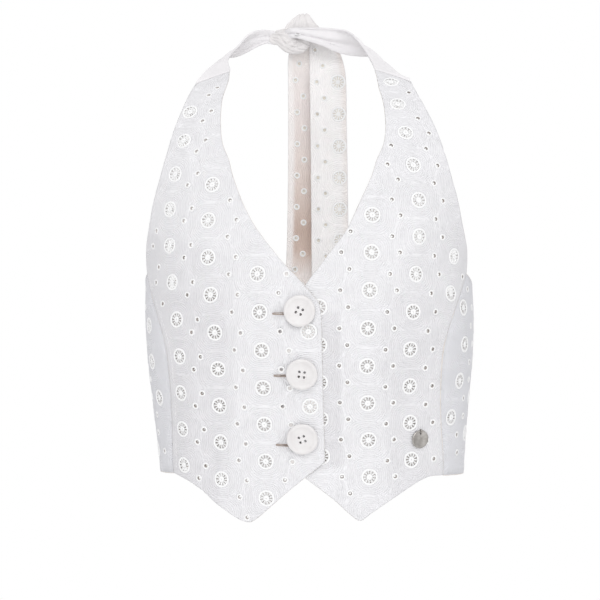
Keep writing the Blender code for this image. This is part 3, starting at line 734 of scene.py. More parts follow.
def flat_sheet(name, outline, place, holes, wheels, material, relief, wall, step, back, shade):
    """A sheet of cloth: the outline less its holes, filled with points, laid on place and given a wall.

    holes are lists of flat points. wheels are the centres that the stitching ripples round. relief gives
    each point's height above place, shade its share of the painted shade. back is the other face's material.
    """
    outline = np.array(outline)
    inner = hex_grid(outline, step)
    inner = inner[inside(inner, outline)]
    inner = inner[edge_distance(inner, outline) > EDGE_ROWS[-1] + step * 0.45]
    inner = np.vstack([inner] + [edge_row(outline, inset) for inset in EDGE_ROWS])
    for hole in holes:
        ring = np.array(hole)
        centre = ring.mean(axis=0)
        reach = np.linalg.norm(ring - centre, axis=1).max() + step * 0.4
        inner = inner[np.linalg.norm(inner - centre, axis=1) > reach]
    verts = [tuple(p) for p in outline]
    edges = [(k, (k + 1) % len(outline)) for k in range(len(outline))]
    for hole in holes:
        first = len(verts)
        verts += [tuple(p) for p in hole]
        edges += [(first + k, first + (k + 1) % len(hole)) for k in range(len(hole))]
    verts += [tuple(p) for p in inner]
    flat, _, faces, *_ = delaunay_2d_cdt([Vector(v) for v in verts], edges, [], 1, 1e-6)
    flat = np.array([tuple(p) for p in flat])
    faces = outside_holes(flat, faces, holes)
    heights = relief(flat, outline)
    points = []
    for (across, up), height in zip(flat, heights):
        across, up = float(across), float(up)
        point = place(across, up)
        if height:
            d = 0.001
            run = place(across + d, up) - place(across - d, up)
            rise = place(across, up + d) - place(across, up - d)
            point = point + run.cross(rise).normalized() * float(height)
        points.append(point)
    piece = object_from(name, points, faces, material)
    tinted = np.array([shade(float(a), float(u)) for a, u in flat]) if shade else np.zeros(len(flat))
    add_flat_coordinates(piece, flat, ripple_distance(flat, wheels), tinted)
    solidify = piece.modifiers.new("wall", "SOLIDIFY")
    solidify.thickness = wall
    solidify.offset = -1.0
    piece.data.materials.append(back)
    solidify.material_offset = 1
    return piece


def outside_holes(flat, faces, holes):
    """The faces that are in none of the holes."""
    middles = np.array([flat[list(face)].mean(axis=0) for face in faces])
    cut = np.zeros(len(faces), bool)
    for hole in holes:
        ring = np.array(hole)
        low, high = ring.min(axis=0), ring.max(axis=0)
        near = np.flatnonzero(((middles > low) & (middles < high)).all(axis=1))
        cut[near] |= inside(middles[near], ring)
    return [tuple(face) for face, gone in zip(faces, cut) if not gone]


def add_flat_coordinates(piece, flat, ripple, shade):
    """Stores each point's flat place, its distance to a wheel and its share of the painted shade."""
    mesh = piece.data
    layer = mesh.uv_layers.new(name="flat")
    corners = np.zeros(len(mesh.loops), dtype=np.int32)
    mesh.loops.foreach_get("vertex_index", corners)
    layer.data.foreach_set("uv", flat[corners].astype(np.float32).ravel())
    for name, values in (("ripple", ripple), ("shade", shade)):
        attribute = mesh.attributes.new(name, "FLOAT", "POINT")
        attribute.data.foreach_set("value", values.astype(np.float32))


# ---- Embroidery on the sheets --------------------------------------------------------------------


class Builder:
    """Collects points and faces of one joined mesh."""

    def __init__(self):
        self.verts, self.faces = [], []

    def tube_ring(self, rings, closed=True):
        """Faces between rings of equal count, each a closed loop, and round from the last to the first."""
        first = len(self.verts)
        count = len(rings[0])
        for ring in rings:
            self.verts += ring
        total = len(rings)
        for i in range(total if closed else total - 1):
            a, b = first + i * count, first + ((i + 1) % total) * count
            for k in range(count):
                n = (k + 1) % count
                self.faces.append((a + k, a + n, b + n, b + k))
        if not closed:
            self.faces.append(tuple(first + k for k in reversed(range(count))))
            self.faces.append(tuple(first + (total - 1) * count + k for k in range(count)))

    def piece(self, name, material):
        return object_from(name, self.verts, self.faces, material)


def satin_ring(builder, patch, radius, half_width, height, segments, depth=0.0):
    """A raised ring of satin stitch: a flattened tube round a circle, with small bumps for its stitches."""
    section = circle(1.0, 6)
    rings = []
    for i in range(segments):
        turn = 2 * math.pi * i / segments
        bump = 1.16 if i % 2 else 1.0
        rings.append([
            patch.point(
                (radius + a * half_width * bump) * math.cos(turn),
                (radius + a * half_width * bump) * math.sin(turn),
                b * height * bump - depth,
            )
            for a, b in section
        ])
    builder.tube_ring(rings)


def spokes(builder, patch, turn, widths, depth):
    """Threads from a wheel's hub to its ring. widths are half widths at the hub, midway and at the ring."""
    for k in range(WHEEL_SPOKES):
        angle = turn + 2 * math.pi * k / WHEEL_SPOKES
        rings = []
        for radius, half in zip(SPOKE_RADII, widths):
            ring = []
            for side, height in ((-1, 0.0), (0, SPOKE_THICKNESS), (1, 0.0), (0, -SPOKE_THICKNESS)):
                x = radius * math.cos(angle) - side * half * math.sin(angle)
                y = radius * math.sin(angle) + side * half * math.cos(angle)
                ring.append(patch.point(x, y, height - depth))
            rings.append(ring)
        builder.tube_ring(rings, closed=False)


def wheel_ring(builder, patch, depth):
    satin_ring(builder, patch, WHEEL_HOLE + WHEEL_RING * 0.75, WHEEL_RING, SATIN_HEIGHT, 44, depth)


def wheel(builder, under, patch, turn):
    """A cutwork wheel: a satin ring, thread spokes across the hole and a worked hub in the middle.

    Between the spokes and a little behind them run the stitches of the other face, in under; they are
    dark, a painted shade in the hole.
    """
    wheel_ring(builder, patch, 0.0)
    satin_ring(builder, patch, WHEEL_HUB * 0.55, WHEEL_HUB * 0.5, 0.00035, 16)
    spokes(builder, patch, turn, SPOKE, 0.0001)
    if under:
        spokes(under, patch, turn + math.pi / WHEEL_SPOKES, UNDER_SPOKE, UNDER_DEPTH)


def doubled_wheel(builder, strokes, patch, turn, wall):
    """A wheel through a tie's two layers: a ring and faint spokes on each face, with cloth between them. The
    spokes are beige, a painted shade in the hole.
    """
    for depth in (0.0, wall):
        wheel_ring(builder, patch, depth)
    disc(builder, patch, WHEEL_HOLE + 0.0004, 0.0003, wall - 0.0006)
    for depth in (0.0001, wall - 0.0001):
        spokes(strokes, patch, turn, DOUBLED_SPOKE, depth)


def disc(builder, patch, radius, depth, thickness=0.0003):
    """A round of the layer behind, that shows through a hole."""
    inner = radius * 0.9
    levels = ((inner, 0.0), (radius, 0.0), (radius, thickness), (inner, thickness))
    builder.tube_ring(
        [[patch.point(x, y, -depth - down) for x, y in circle(reach, 20)] for reach, down in levels],
        closed=False,
    )


def eyelet_walls(builder, patch):
    """The turned-in wall of a small eyelet: a short funnel behind its ring, in dark thread as painted shade
    inside the hole.
    """
    rings = []
    for i in range(14):
        turn = 2 * math.pi * i / 14
        rings.append([
            patch.point(radius * math.cos(turn), radius * math.sin(turn), -height)
            for radius, height in EYELET_FUNNEL
        ])
    builder.tube_ring(rings)


def rolled_edge(builder, place, outline, radius, inset):
    """A thin roll along an outline, where the cloth is turned in and bagged out."""
    outline = [Vector((*p, 0.0)) for p in outline]
    count = len(outline)
    rings = []
    for i, spot in enumerate(outline):
        run = (outline[(i + 1) % count] - outline[i - 1]).normalized()
        inward = Vector((-run.y, run.x, 0.0))
        middle = place(spot.x, spot.y)
        near = place(spot.x + inward.x * 0.002, spot.y + inward.y * 0.002)
        ahead = place(spot.x + run.x * 0.002, spot.y + run.y * 0.002) - middle
        into = (near - middle).normalized()
        normal = ahead.cross(into).normalized()
        centre = middle + into * inset - normal * (radius * 0.85)
        rings.append([
            centre + into * (radius * math.cos(t)) + normal * (radius * math.sin(t))
            for t in (2 * math.pi * k / 6 for k in range(6))
        ])
    builder.tube_ring(rings)


def satin_loop(builder, place, loop):
    """Close satin stitches round a slot: a flattened tube along its outline."""
    half_width, height = LOOP_SIZE
    count = len(loop)
    rings = []
    for i, (across, up) in enumerate(loop):
        before, after = loop[i - 1], loop[(i + 1) % count]
        run = Vector((after[0] - before[0], after[1] - before[1])).normalized()
        middle = place(across, up)
        side = (place(across + run.y * 0.001, up - run.x * 0.001) - middle).normalized()
        ahead = (place(across + run.x * 0.001, up + run.y * 0.001) - middle).normalized()
        normal = side.cross(ahead)
        bump = 1.2 if i % 2 else 1.0
        rings.append([
            middle + side * (half_width * (0.8 + a * bump)) + normal * (height * b * bump)
            for a, b in circle(1.0, 6)
        ])
    builder.tube_ring(rings)


def stitch_line(builder, place, line):
    """Running stitches along a flat line, each a small spindle lying on the cloth."""
    line = [Vector((*p, 0.0)) for p in line]
    total = line_length(line)
    count = int(total / (STITCH + STITCH_GAP))
    for k in range(count):
        start = k * (STITCH + STITCH_GAP)
        rings = []
        for share, size in ((0.0, 0.35), (0.3, 1.0), (0.7, 1.0), (1.0, 0.35)):
            spot = along(line, (start + share * STITCH) / total)
            ahead = along(line, min((start + share * STITCH + 0.0008) / total, 1.0))
            middle = place(spot.x, spot.y)
            run = place(ahead.x, ahead.y) - middle
            if run.length < 1e-6:
                break
            up = place(spot.x, spot.y + 0.001) - middle
            side = place(spot.x + 0.001, spot.y) - middle
            normal = side.cross(up).normalized()
            sideways = normal.cross(run.normalized())
            rings.append([
                middle + sideways * (STITCH_RADIUS * size * a) + normal * (STITCH_RADIUS * size * b)
                for a, b in ((1, 0), (0, 1), (-1, 0), (0, -1))
            ])
        if len(rings) == 4:
            builder.tube_ring(rings, closed=False)


# ---- Materials -----------------------------------------------------------------------------------


class Nodes:
    """A short way to write a material's nodes."""

    def __init__(self, name, colour, roughness, metallic=0.0, **sockets):
        self.material = bpy.data.materials.new(name)
        self.material.use_nodes = True
        self.tree = self.material.node_tree
        self.shader = self.tree.nodes["Principled BSDF"]
        self.shader.inputs["Base Color"].default_value = (*colour, 1.0)
        self.shader.inputs["Roughness"].default_value = roughness
        self.shader.inputs["Metallic"].default_value = metallic
        for socket, value in sockets.items():
            self.shader.inputs[socket.replace("_", " ")].default_value = value
        self.place = self.add("TexCoord").outputs["Object"]

    def add(self, kind, settings=None, **inputs):
        node = self.tree.nodes.new("ShaderNode" + kind)
        for key, value in (settings or {}).items():
            setattr(node, key, value)
        for key, value in inputs.items():
            socket = node.inputs[int(key[1:])] if key[0] == "i" and key[1:].isdigit() else node.inputs[key]
            if hasattr(value, "node"):
                self.tree.links.new(value, socket)
            else:
                socket.default_value = value
        return node

    def noise(self, scale, detail, **inputs):
        return self.add("TexNoise", Vector=self.place, Scale=scale, Detail=detail, **inputs).outputs["Fac"]

    def tinted(self, share, colour, tint):
        node = self.add("MixRGB", {"blend_type": "MULTIPLY"}, Fac=share, Color1=colour, Color2=tint)
        return node.outputs["Color"]

    def math(self, operation, a, b=0.0, c=0.5):
        return self.add("Math", {"operation": operation}, i0=a, i1=b, i2=c).outputs[0]

    def ramp(self, factor, stops):
        node = self.add("ValToRGB", Fac=factor)
        elements = node.color_ramp.elements
        for k, (position, colour) in enumerate(stops):
            element = elements[k] if k < 2 else elements.new(position)
            element.position = position
            element.color = (*colour, 1.0)
        return node.outputs["Color"]

    def bump(self, height, strength, distance, normal=None):
        node = self.add("Bump", Height=height, Strength=strength, Distance=distance)
        if normal is not None:
            self.tree.links.new(normal, node.inputs["Normal"])
        return node.outputs["Normal"]

    def link(self, output, socket):
        self.tree.links.new(output, self.shader.inputs[socket])


COTTON_COLOUR = (0.765, 0.76, 0.78)
FADE_SCALE = 4.0  # from depth below the nape to a place on the fade's ramp
RIPPLE_PITCH = 0.00165
WEAVE_SCALE = 420.0


def cotton_material(name, colour=COTTON_COLOUR, ripples=True, fade=()):
    """White cotton: a plain weave, rows of raised stitching that ripple round the wheels, and slubs. The
    gaps between the rows are darkened in the colour, a painted shade.

    fade is heights and the colours of painted light and shade that tint the cloth there, from the highest
    down, where its points carry a share of that painted tint.
    """
    nodes = Nodes(name, colour, 0.88)
    flat = nodes.add("UVMap", {"uv_map": "flat"}).outputs["UV"]
    cloud = nodes.noise(38.0, 3.0)
    tint = nodes.ramp(cloud, [
        (0.25, tuple(c * 0.965 for c in colour)),
        (0.75, tuple(min(c * 1.02, 1.0) for c in colour)),
    ])
    if fade:
        # Painted light and shade: the colour is tinted by depth below the nape, in the share that each point
        # carries
        depth = nodes.math("MULTIPLY", nodes.add("SeparateXYZ", Vector=nodes.place).outputs["Z"], -1.0)
        depth = nodes.math("MULTIPLY_ADD", cloud, 0.02, depth)
        stops = [(-FADE_SCALE * height, tone) for height, tone in fade]
        painted_light_and_shade = nodes.ramp(nodes.math("MULTIPLY", depth, FADE_SCALE), stops)
        share = nodes.add("Attribute", {"attribute_name": "shade"}).outputs["Fac"]
        tint = nodes.tinted(share, tint, painted_light_and_shade)
    warp, weft = (
        nodes.add("TexWave", {"bands_direction": axis}, Vector=flat, Scale=WEAVE_SCALE, Distortion=1.2)
        for axis in "XY"
    )
    weave = nodes.math("ADD", warp.outputs["Fac"], weft.outputs["Fac"])
    slub = nodes.noise(900.0, 2.0)
    normal = nodes.bump(weave, 0.25, 0.00012)
    normal = nodes.bump(slub, 0.2, 0.00025, normal)
    pucker = nodes.noise(85.0, 2.0, Distortion=0.5)
    normal = nodes.bump(pucker, 0.45, 0.0012, normal)
    if ripples:
        wobble = nodes.noise(120.0, 1.0)
        distance = nodes.add("Attribute", {"attribute_name": "ripple"}).outputs["Fac"]
        phase = nodes.math("MULTIPLY", distance, 2 * math.pi / RIPPLE_PITCH)
        phase = nodes.math("ADD", phase, nodes.math("MULTIPLY", wobble, 5.0))
        ridge = nodes.math("SINE", phase)
        dashes = nodes.noise(420.0, 1.0)
        ridge = nodes.math("MULTIPLY", ridge, dashes)
        normal = nodes.bump(ridge, 0.7, 0.0005, normal)
        # The gaps between the rows are darkened and the ridges kept full: painted shade of the stitching's
        # self-shadow
        shade = nodes.ramp(nodes.math("MULTIPLY_ADD", ridge, 0.5), [(0.0, (0.9,) * 3), (0.75, (1.0,) * 3)])
        tint = nodes.tinted(1.0, tint, shade)
    nodes.link(tint, "Base Color")
    nodes.link(normal, "Normal")
    return nodes.material


def thread_material(name, colour, uneven=0.0):
    """Embroidery thread: a soft sheen and fine fibres. uneven makes it lighter and darker in patches."""
    nodes = Nodes(name, colour, 0.62, Sheen_Weight=0.25)
    fibre = nodes.noise(2600.0, 2.0)
    patchy = nodes.noise(55.0, 1.0)
    fibre = nodes.math("MULTIPLY_ADD", patchy, uneven, fibre)
    span = 1 + 2.2 * uneven
    stops = [(0.3 + 0.35 * uneven, tuple(c * 0.94 / span for c in colour)),
             (0.7 + 0.62 * uneven, tuple(min(c * 1.02 * span, 1.0) for c in colour))]
    tint = nodes.ramp(fibre, stops)
    nodes.link(tint, "Base Color")
    nodes.link(nodes.bump(fibre, 0.4, 0.0002), "Normal")
    return nodes.material


def edge_painted_shade_material():
    """The turned edges, warmer and darker than the face: painted shade along the rolled edge."""
    nodes = Nodes("turned_edge_painted_shade", (0.8, 0.78, 0.76), 0.85)
    cloud = nodes.noise(160.0, 3.0)
    nodes.link(nodes.ramp(cloud, [(0.3, (0.62, 0.575, 0.54)), (0.7, (0.72, 0.69, 0.665))]), "Base Color")
    nodes.link(nodes.bump(cloud, 0.3, 0.0003), "Normal")
    return nodes.material


def button_material():
    """Polished resin, a little cloudy."""
    nodes = Nodes("button_resin", (0.65, 0.64, 0.63), 0.36, Coat_Weight=0.12, Coat_Roughness=0.2)
    cloud = nodes.noise(140.0, 4.0, Distortion=0.6)
    nodes.link(nodes.ramp(cloud, [(0.3, (0.655, 0.635, 0.635)), (0.7, (0.705, 0.69, 0.69))]), "Base Color")
    grain = nodes.noise(1400.0, 2.0)
    nodes.link(nodes.bump(grain, 0.06, 0.0001), "Normal")
    return nodes.material


def tag_material():
    """Dull cast metal with a faint brushed grain, lighter and darker in patches."""
    nodes = Nodes("tag_metal", (0.42, 0.4, 0.38), 0.38, metallic=1.0)
    cloud = nodes.noise(320.0, 5.0)
    nodes.link(nodes.ramp(cloud, [(0.3, (0.33, 0.31, 0.29)), (0.7, (0.5, 0.48, 0.46))]), "Base Color")
    nodes.link(nodes.ramp(cloud, [(0.3, (0.32,) * 3), (0.7, (0.48,) * 3)]), "Roughness")
    nodes.link(nodes.bump(cloud, 0.15, 0.0002), "Normal")
    return nodes.material


def floor_material():
    """A pale floor that glows a little ahead and behind, to meet the white walls there."""
    nodes = Nodes("studio_floor", (0.86, 0.86, 0.86), 0.9)
    aside = nodes.math("ABSOLUTE", nodes.add("SeparateXYZ", Vector=nodes.place).outputs["X"])
    glow = nodes.ramp(nodes.math("MULTIPLY", aside, 0.5), [(0.15, (0.22,) * 3), (0.85, (0.0,) * 3)])
    nodes.shader.inputs["Emission Strength"].default_value = 1.0
    nodes.link(glow, "Emission Color")
    return nodes.material


PAINTED_SHADE_TINT = (0.905, 0.9, 0.905)  # painted shade on the fronts' outer parts and beside the lap's edge
COTTON = cotton_material("cotton_front", fade=((0.0, PAINTED_SHADE_TINT), (-0.2499, PAINTED_SHADE_TINT)))
# The back is the same cotton, darker and bluer: painted shade where it turns away at the sides
COTTON_REAR_PAINTED_SHADE = cotton_material("cotton_rear_painted_shade", (0.7, 0.7, 0.73))
COTTON_PLAIN = cotton_material("cotton_tie", (0.77, 0.755, 0.77), ripples=False)
# The knot's gathered cotton is a darker copy of the ties': painted shade in its folds
COTTON_KNOT_PAINTED_SHADE = cotton_material("cotton_knot_painted_shade", (0.72, 0.7, 0.7), ripples=False)
COTTON_TAIL_BACK = cotton_material("cotton_tail_back", (0.8, 0.79, 0.79), ripples=False)
# The tails' faces towards the front are lighter than the other cotton, a painted light, with a warm brown
# fade down them, a painted shade where they hang between the fronts and overlap. The right one lightens
# again at its foot, a painted light in the V.
COTTON_TAIL_LEFT_PAINTED_LIGHT_AND_SHADE = cotton_material("cotton_tail_left_painted_light_and_shade", (0.935, 0.925, 0.93), fade=(
    (-0.01, (0.9, 0.85, 0.82)), (-0.12, (0.9, 0.87, 0.85)), (-0.205, (0.95, 0.92, 0.9)),
))
COTTON_TAIL_RIGHT_PAINTED_LIGHT_AND_SHADE = cotton_material("cotton_tail_right_painted_light_and_shade", (0.93, 0.9, 0.89), fade=(
    (-0.015, (0.98, 0.96, 0.95)), (-0.06, (0.87, 0.825, 0.82)), (-0.115, (0.82, 0.75, 0.72)),
    (-0.15, (0.74, 0.64, 0.59)), (-0.18, (0.61, 0.49, 0.43)), (-0.2, (0.66, 0.54, 0.48)),
    (-0.22, (0.95, 0.91, 0.89)),
))
# Beige thread for the ties' and tails' spokes and the rounds in their eyelets: painted shade in their holes
INNER_THREAD_PAINTED_SHADE = thread_material("inner_thread", (0.66, 0.57, 0.51), 0.3)
COTTON_BACK = cotton_material("cotton_inside", (0.76, 0.75, 0.75), ripples=False)
THREAD = thread_material("thread", (0.835, 0.835, 0.84))
# The other face's threads are dark brown, the faint ones less so: painted shade in the holes of the wheels
# and eyelets
UNDER_THREAD_PAINTED_SHADE = thread_material("thread_underside", (0.33, 0.29, 0.265), uneven=0.3)
UNDER_FAINT_PAINTED_SHADE = thread_material("thread_underside_faint", (0.56, 0.52, 0.5), uneven=0.15)
INNER_LAYER = thread_material("inner_layer", (0.8, 0.77, 0.755))
# Dark taupe buttonhole stitches: painted shade of the open slot
LOOP_THREAD_PAINTED_SHADE = thread_material("buttonhole_thread_painted_shade", (0.3, 0.235, 0.2), uneven=0.2)
EDGE = edge_painted_shade_material()
RESIN = button_material()
METAL = tag_material()


# ---- Panels --------------------------------------------------------------------------------------


def hem_relief(flat, outline):
    """The turned edge stands up a little, with a soft line where it ends."""
    distance = edge_distance(flat, outline)
    rise = np.clip((HEM_FOLD - distance) / 0.0012, 0.0, 1.0)
    return 0.0001 * rise * rise * (3 - 2 * rise)


def no_relief(flat, outline):
    return np.zeros(len(flat))


def never(across, up):
    return False


# A panel's pieces besides its cloth, in the order in which they are made
LAYERS = (
    ("embroidery", THREAD), ("undersides", UNDER_THREAD_PAINTED_SHADE), ("faint_undersides", UNDER_FAINT_PAINTED_SHADE),
    ("inner_layer", INNER_LAYER), ("inner_threads", INNER_THREAD_PAINTED_SHADE), ("buttonholes", LOOP_THREAD_PAINTED_SHADE),
)
PAINTED_SHADE_LIMIT = 0.25  # share of the painted shade above which the threads behind a hole are the dark ones
SLOT_CLEAR = {"eyelets": 0.004, "wheels": 0.008}  # from a buttonhole to a centre


def cut_centres(shape, columns, pitch, spread_out, clear, bare_top, slots):
    """The wheels that the stitching ripples round, and the wheels and the eyelets that are cut."""
    ripples, small = lattice(columns, shape[:, 1].max() + PITCH_UP, pitch, spread_out)
    wheels = keep_clear(ripples, shape, WHEEL_HOLE + 1.75 * WHEEL_RING + clear)
    wheels = [c for c in wheels if c[1] < shape[:, 1].max() - bare_top]
    small = keep_clear(small, shape, EYELET_HOLE + 2 * EYELET_RING + 0.0004)
    blocked = [p for slot in slots for p in slot]
    small = [c for c in small if all(math.dist(c, p) > SLOT_CLEAR["eyelets"] for p in blocked)]
    wheels = [c for c in wheels if all(math.dist(c, p) > SLOT_CLEAR["wheels"] for p in blocked)]
    return ripples, wheels, small


def dressed_panel(
    name, node, outline, place, columns, doubled=False, wall=SHELL,
    step=MESH_STEP, relief=hem_relief, pitch=PITCH_UP, spread_out=True, clear=0.0003, bare_top=0.0,
    cutwork=True, slots=(), eyelets=(), stitching=(), backed=never, shade=None, faint_wheels=True,
    faint_eyelets=False, cloth=COTTON, back=COTTON_BACK,
):
    """A panel with its eyelets cut, its embroidery on it, and its edges rolled.

    doubled is for cloth of two layers, worked on both faces. pitch is the wheels' spacing up, and
    spread_out whether the columns follow the darts. clear is the wheels' distance from the edge, and
    bare_top the part without wheels. backed says where cloth lies behind the holes, and shade gives the
    share of the painted shade. The faint_ values say whether the other face's threads are pale.
    """
    shape = np.array(outline)
    ripples, wheels, small = cut_centres(shape, columns, pitch, spread_out, clear, bare_top, slots)
    if not cutwork:
        wheels, small = [], []
    wheels = [Patch(place, *centre) for centre in wheels]
    small = [Patch(place, *centre) for centre in small + list(eyelets)]
    holes = [[p.flat_at(x, y) for x, y in circle(WHEEL_HOLE, 26)] for p in wheels]
    holes += [[p.flat_at(x, y) for x, y in circle(EYELET_HOLE, 12)] for p in small]
    holes += list(slots)
    panel = flat_sheet(name, outline, place, holes, ripples, cloth, relief, wall, step, back, shade)
    work = {layer: Builder() for layer, _ in LAYERS}

    def in_painted_shade(patch):
        return bool(shade) and shade(*patch.flat) > PAINTED_SHADE_LIMIT

    for k, patch in enumerate(wheels):
        turn = 0.7 * k
        if doubled:
            doubled_wheel(work["embroidery"], work["inner_threads"], patch, turn, wall)
        elif backed(*patch.flat):
            wheel(work["embroidery"], None, patch, turn)
            disc(work["inner_layer"], patch, WHEEL_HOLE + 0.0004, 0.0005, 0.0008)
        else:
            dark = in_painted_shade(patch) or not faint_wheels
            wheel(work["embroidery"], work["undersides" if dark else "faint_undersides"], patch, turn)
    for patch in small:
        if doubled:
            # a beige round in the eyelet, painted shade in its hole
            disc(work["inner_threads"], patch, EYELET_HOLE + 0.0002, wall / 2 - 0.00015)
        elif backed(*patch.flat):
            disc(work["inner_layer"], patch, EYELET_HOLE + 0.0002, wall + 0.0002)
        else:
            dark = in_painted_shade(patch) or not faint_eyelets
            eyelet_walls(work["undersides" if dark else "faint_undersides"], patch)
        for depth in (0.0, wall) if doubled else (0.0,):
            middle = EYELET_HOLE + EYELET_RING * 0.8
            satin_ring(work["embroidery"], patch, middle, EYELET_RING, 0.0004, 18, depth)
    for slot in slots:
        satin_loop(work["buttonholes"], place, slot)
    for line in stitching:
        stitch_line(work["embroidery"], place, line)
    pieces = [
        work[layer].piece(f"{name}_{layer}", material) for layer, material in LAYERS if work[layer].verts
    ]
    rim = Builder()
    rolled_edge(rim, place, outline, max(wall / 2 + 0.0001, 0.00055), max(wall / 2 - 0.0002, 0.0003))
    pieces.append(rim.piece(name + "_edge", COTTON_PLAIN if doubled else EDGE))
    for piece in [panel] + pieces:
        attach(piece, "root")
    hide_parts(node)


# x at the outer end, height, slope: the buttonholes, which run in under the buttons
BUTTONHOLES = ((-0.024, -0.2462, 0.0), (-0.0235, -0.2968, 0.0), (-0.0226, -0.3545, -0.1))
BUTTONHOLE_LENGTH = 0.026
BUTTONHOLE_OPEN = 0.00038  # half its width
TOPSTITCH_IN = 0.005  # from the side seam


def buttonhole(x, height, slope):
    """A slot's outline, flat."""
    start = x - figure_row(height)[LEAN]
    loop = []
    for k in range(40):
        turn = 2 * math.pi * k / 40
        run = BUTTONHOLE_LENGTH / 2 * (1 + math.copysign(abs(math.cos(turn)) ** 0.5, math.cos(turn)))
        half = BUTTONHOLE_OPEN * math.sin(turn)
        loop.append((start + run, up_of(height) + run * slope * 0.5 + half))
    return loop


def seam_stitching(side):
    line = []
    for height in seam_heights()[1:-1]:
        across = across_of(side_seam(height), height) - TOPSTITCH_IN
        line.append((side * across, up_of(height)))
    return line


FACING = 0.03  # how far the front edge is turned in behind its eyelets


def turned_in(across, up):
    """Whether a place on the right front is over its turned-in edge."""
    height = height_at(up)
    return out_of(angle_at(-across, height), height) < FACING - LAP


# Where each front carries painted shade: its inner limit, (height, out), and the strip beside the lap
PAINTED_SHADE_FROM = {
    -1: ((-0.174, 0.15), (-0.18, 0.124), (-0.187, 0.098), (-0.195, 0.0815), (-0.2036, 0.065),
         (-0.243, 0.06), (-0.302, 0.0655), (-0.395, 0.072)),
    1: ((-0.16, 0.14), (-0.18, 0.108), (-0.1937, 0.0903), (-0.2284, 0.0738), (-0.2514, 0.0668),
        (-0.3176, 0.0665), (-0.39, 0.07)),
}
PAINTED_SHADE_SHARE = {-1: 0.85, 1: 0.6}
STRIP_TO, STRIP_TOP, STRIP_FOOT, STRIP_SHARE = 0.0325, -0.245, -0.373, 0.85


# Share of the painted shade on a front: its outer part towards the side seam, and on the left front a strip
# beside the lap's edge, a painted shadow of the right front's edge
def front_shade(side):
    limit = PAINTED_SHADE_FROM[side]
    heights, outs = [row[0] for row in reversed(limit)], [row[1] for row in reversed(limit)]

    def shade(across, up):
        height = height_at(up)
        out = out_of(angle_at(side * across, height), height)
        share = PAINTED_SHADE_SHARE[side] * ease((out - float(np.interp(height, heights, outs))) / 0.008 + 0.5)
        share *= mix(1.0, 0.55, ease((height + 0.235) / 0.012))
        if side > 0:
            beside = ease((STRIP_TO - out) / 0.004 + 0.5)
            ends = ease((STRIP_TOP - height) / 0.006 + 0.5) * ease((height - STRIP_FOOT) / 0.006 + 0.5)
            share = max(share, STRIP_SHARE * beside * ends)
        return share

    return shade


def tail_shade(name):
    """Share of the tails' painted shade: the left edge of the right tail stays light, and only the right
    edge of the left one is tinted.
    """
    if name == "tail_right":
        return lambda across, up: 1.0 - 0.85 * ease((across / TAIL_WIDTH - 0.78) / 0.1)
    return lambda across, up: 0.2 + 0.8 * ease((0.22 - across / TAIL_WIDTH) / 0.2)


def build_fronts():
    for node, side in (("front_right", -1), ("front_left", 1)):
        outline = front_outline(side)
        if side < 0:
            outline.reverse()  # so that it runs anticlockwise
        slots = [buttonhole(*spot) for spot in BUTTONHOLES] if side < 0 else []
        dressed_panel(
            "cloth_" + node, node, outline, front_place(side), COLUMNS[node],
            slots=slots, stitching=[seam_stitching(side)], backed=turned_in if side < 0 else never,
            shade=front_shade(side), faint_eyelets=side < 0,
        )


def build_back():
    outline = [(-across, up) for across, up in back_outline()]
    dressed_panel(
        "cloth_back", "back", outline, lambda across, up: back_place(-across, up), COLUMNS["back"],
        cloth=COTTON_REAR_PAINTED_SHADE, clear=0.0038, faint_wheels=False,
    )


# ---- Ties, tails and the knot --------------------------------------------------------------------

TIE_WALL = 0.0016
BAND_EYELET = (-0.0179, 0.0102)  # x, z of the one eyelet that shows on the knot
TIE_WIDTH = 0.034  # flat
TIE_STEP = 0.0013
TIE_COLUMNS = ((0.017, 0.025),)


def front_top(side, s):
    """A point on a front's top edge and the direction in which the cloth leaves it, at s from the neck."""
    outer = (angle_of(*ARMHOLE[-1]), ARMHOLE[-1][1])
    inner = (angle_of(*NECK[-1]), NECK[-1][1])
    below_outer = (angle_of(*ARMHOLE[-2]), ARMHOLE[-2][1])
    below_inner = (angle_of(*NECK[-2]), NECK[-2][1])
    place, below = (
        front_surface(side, mix(a[0], b[0], s), mix(a[1], b[1], s))
        for a, b in ((inner, outer), (below_inner, below_outer))
    )
    return place, (place - below).normalized()


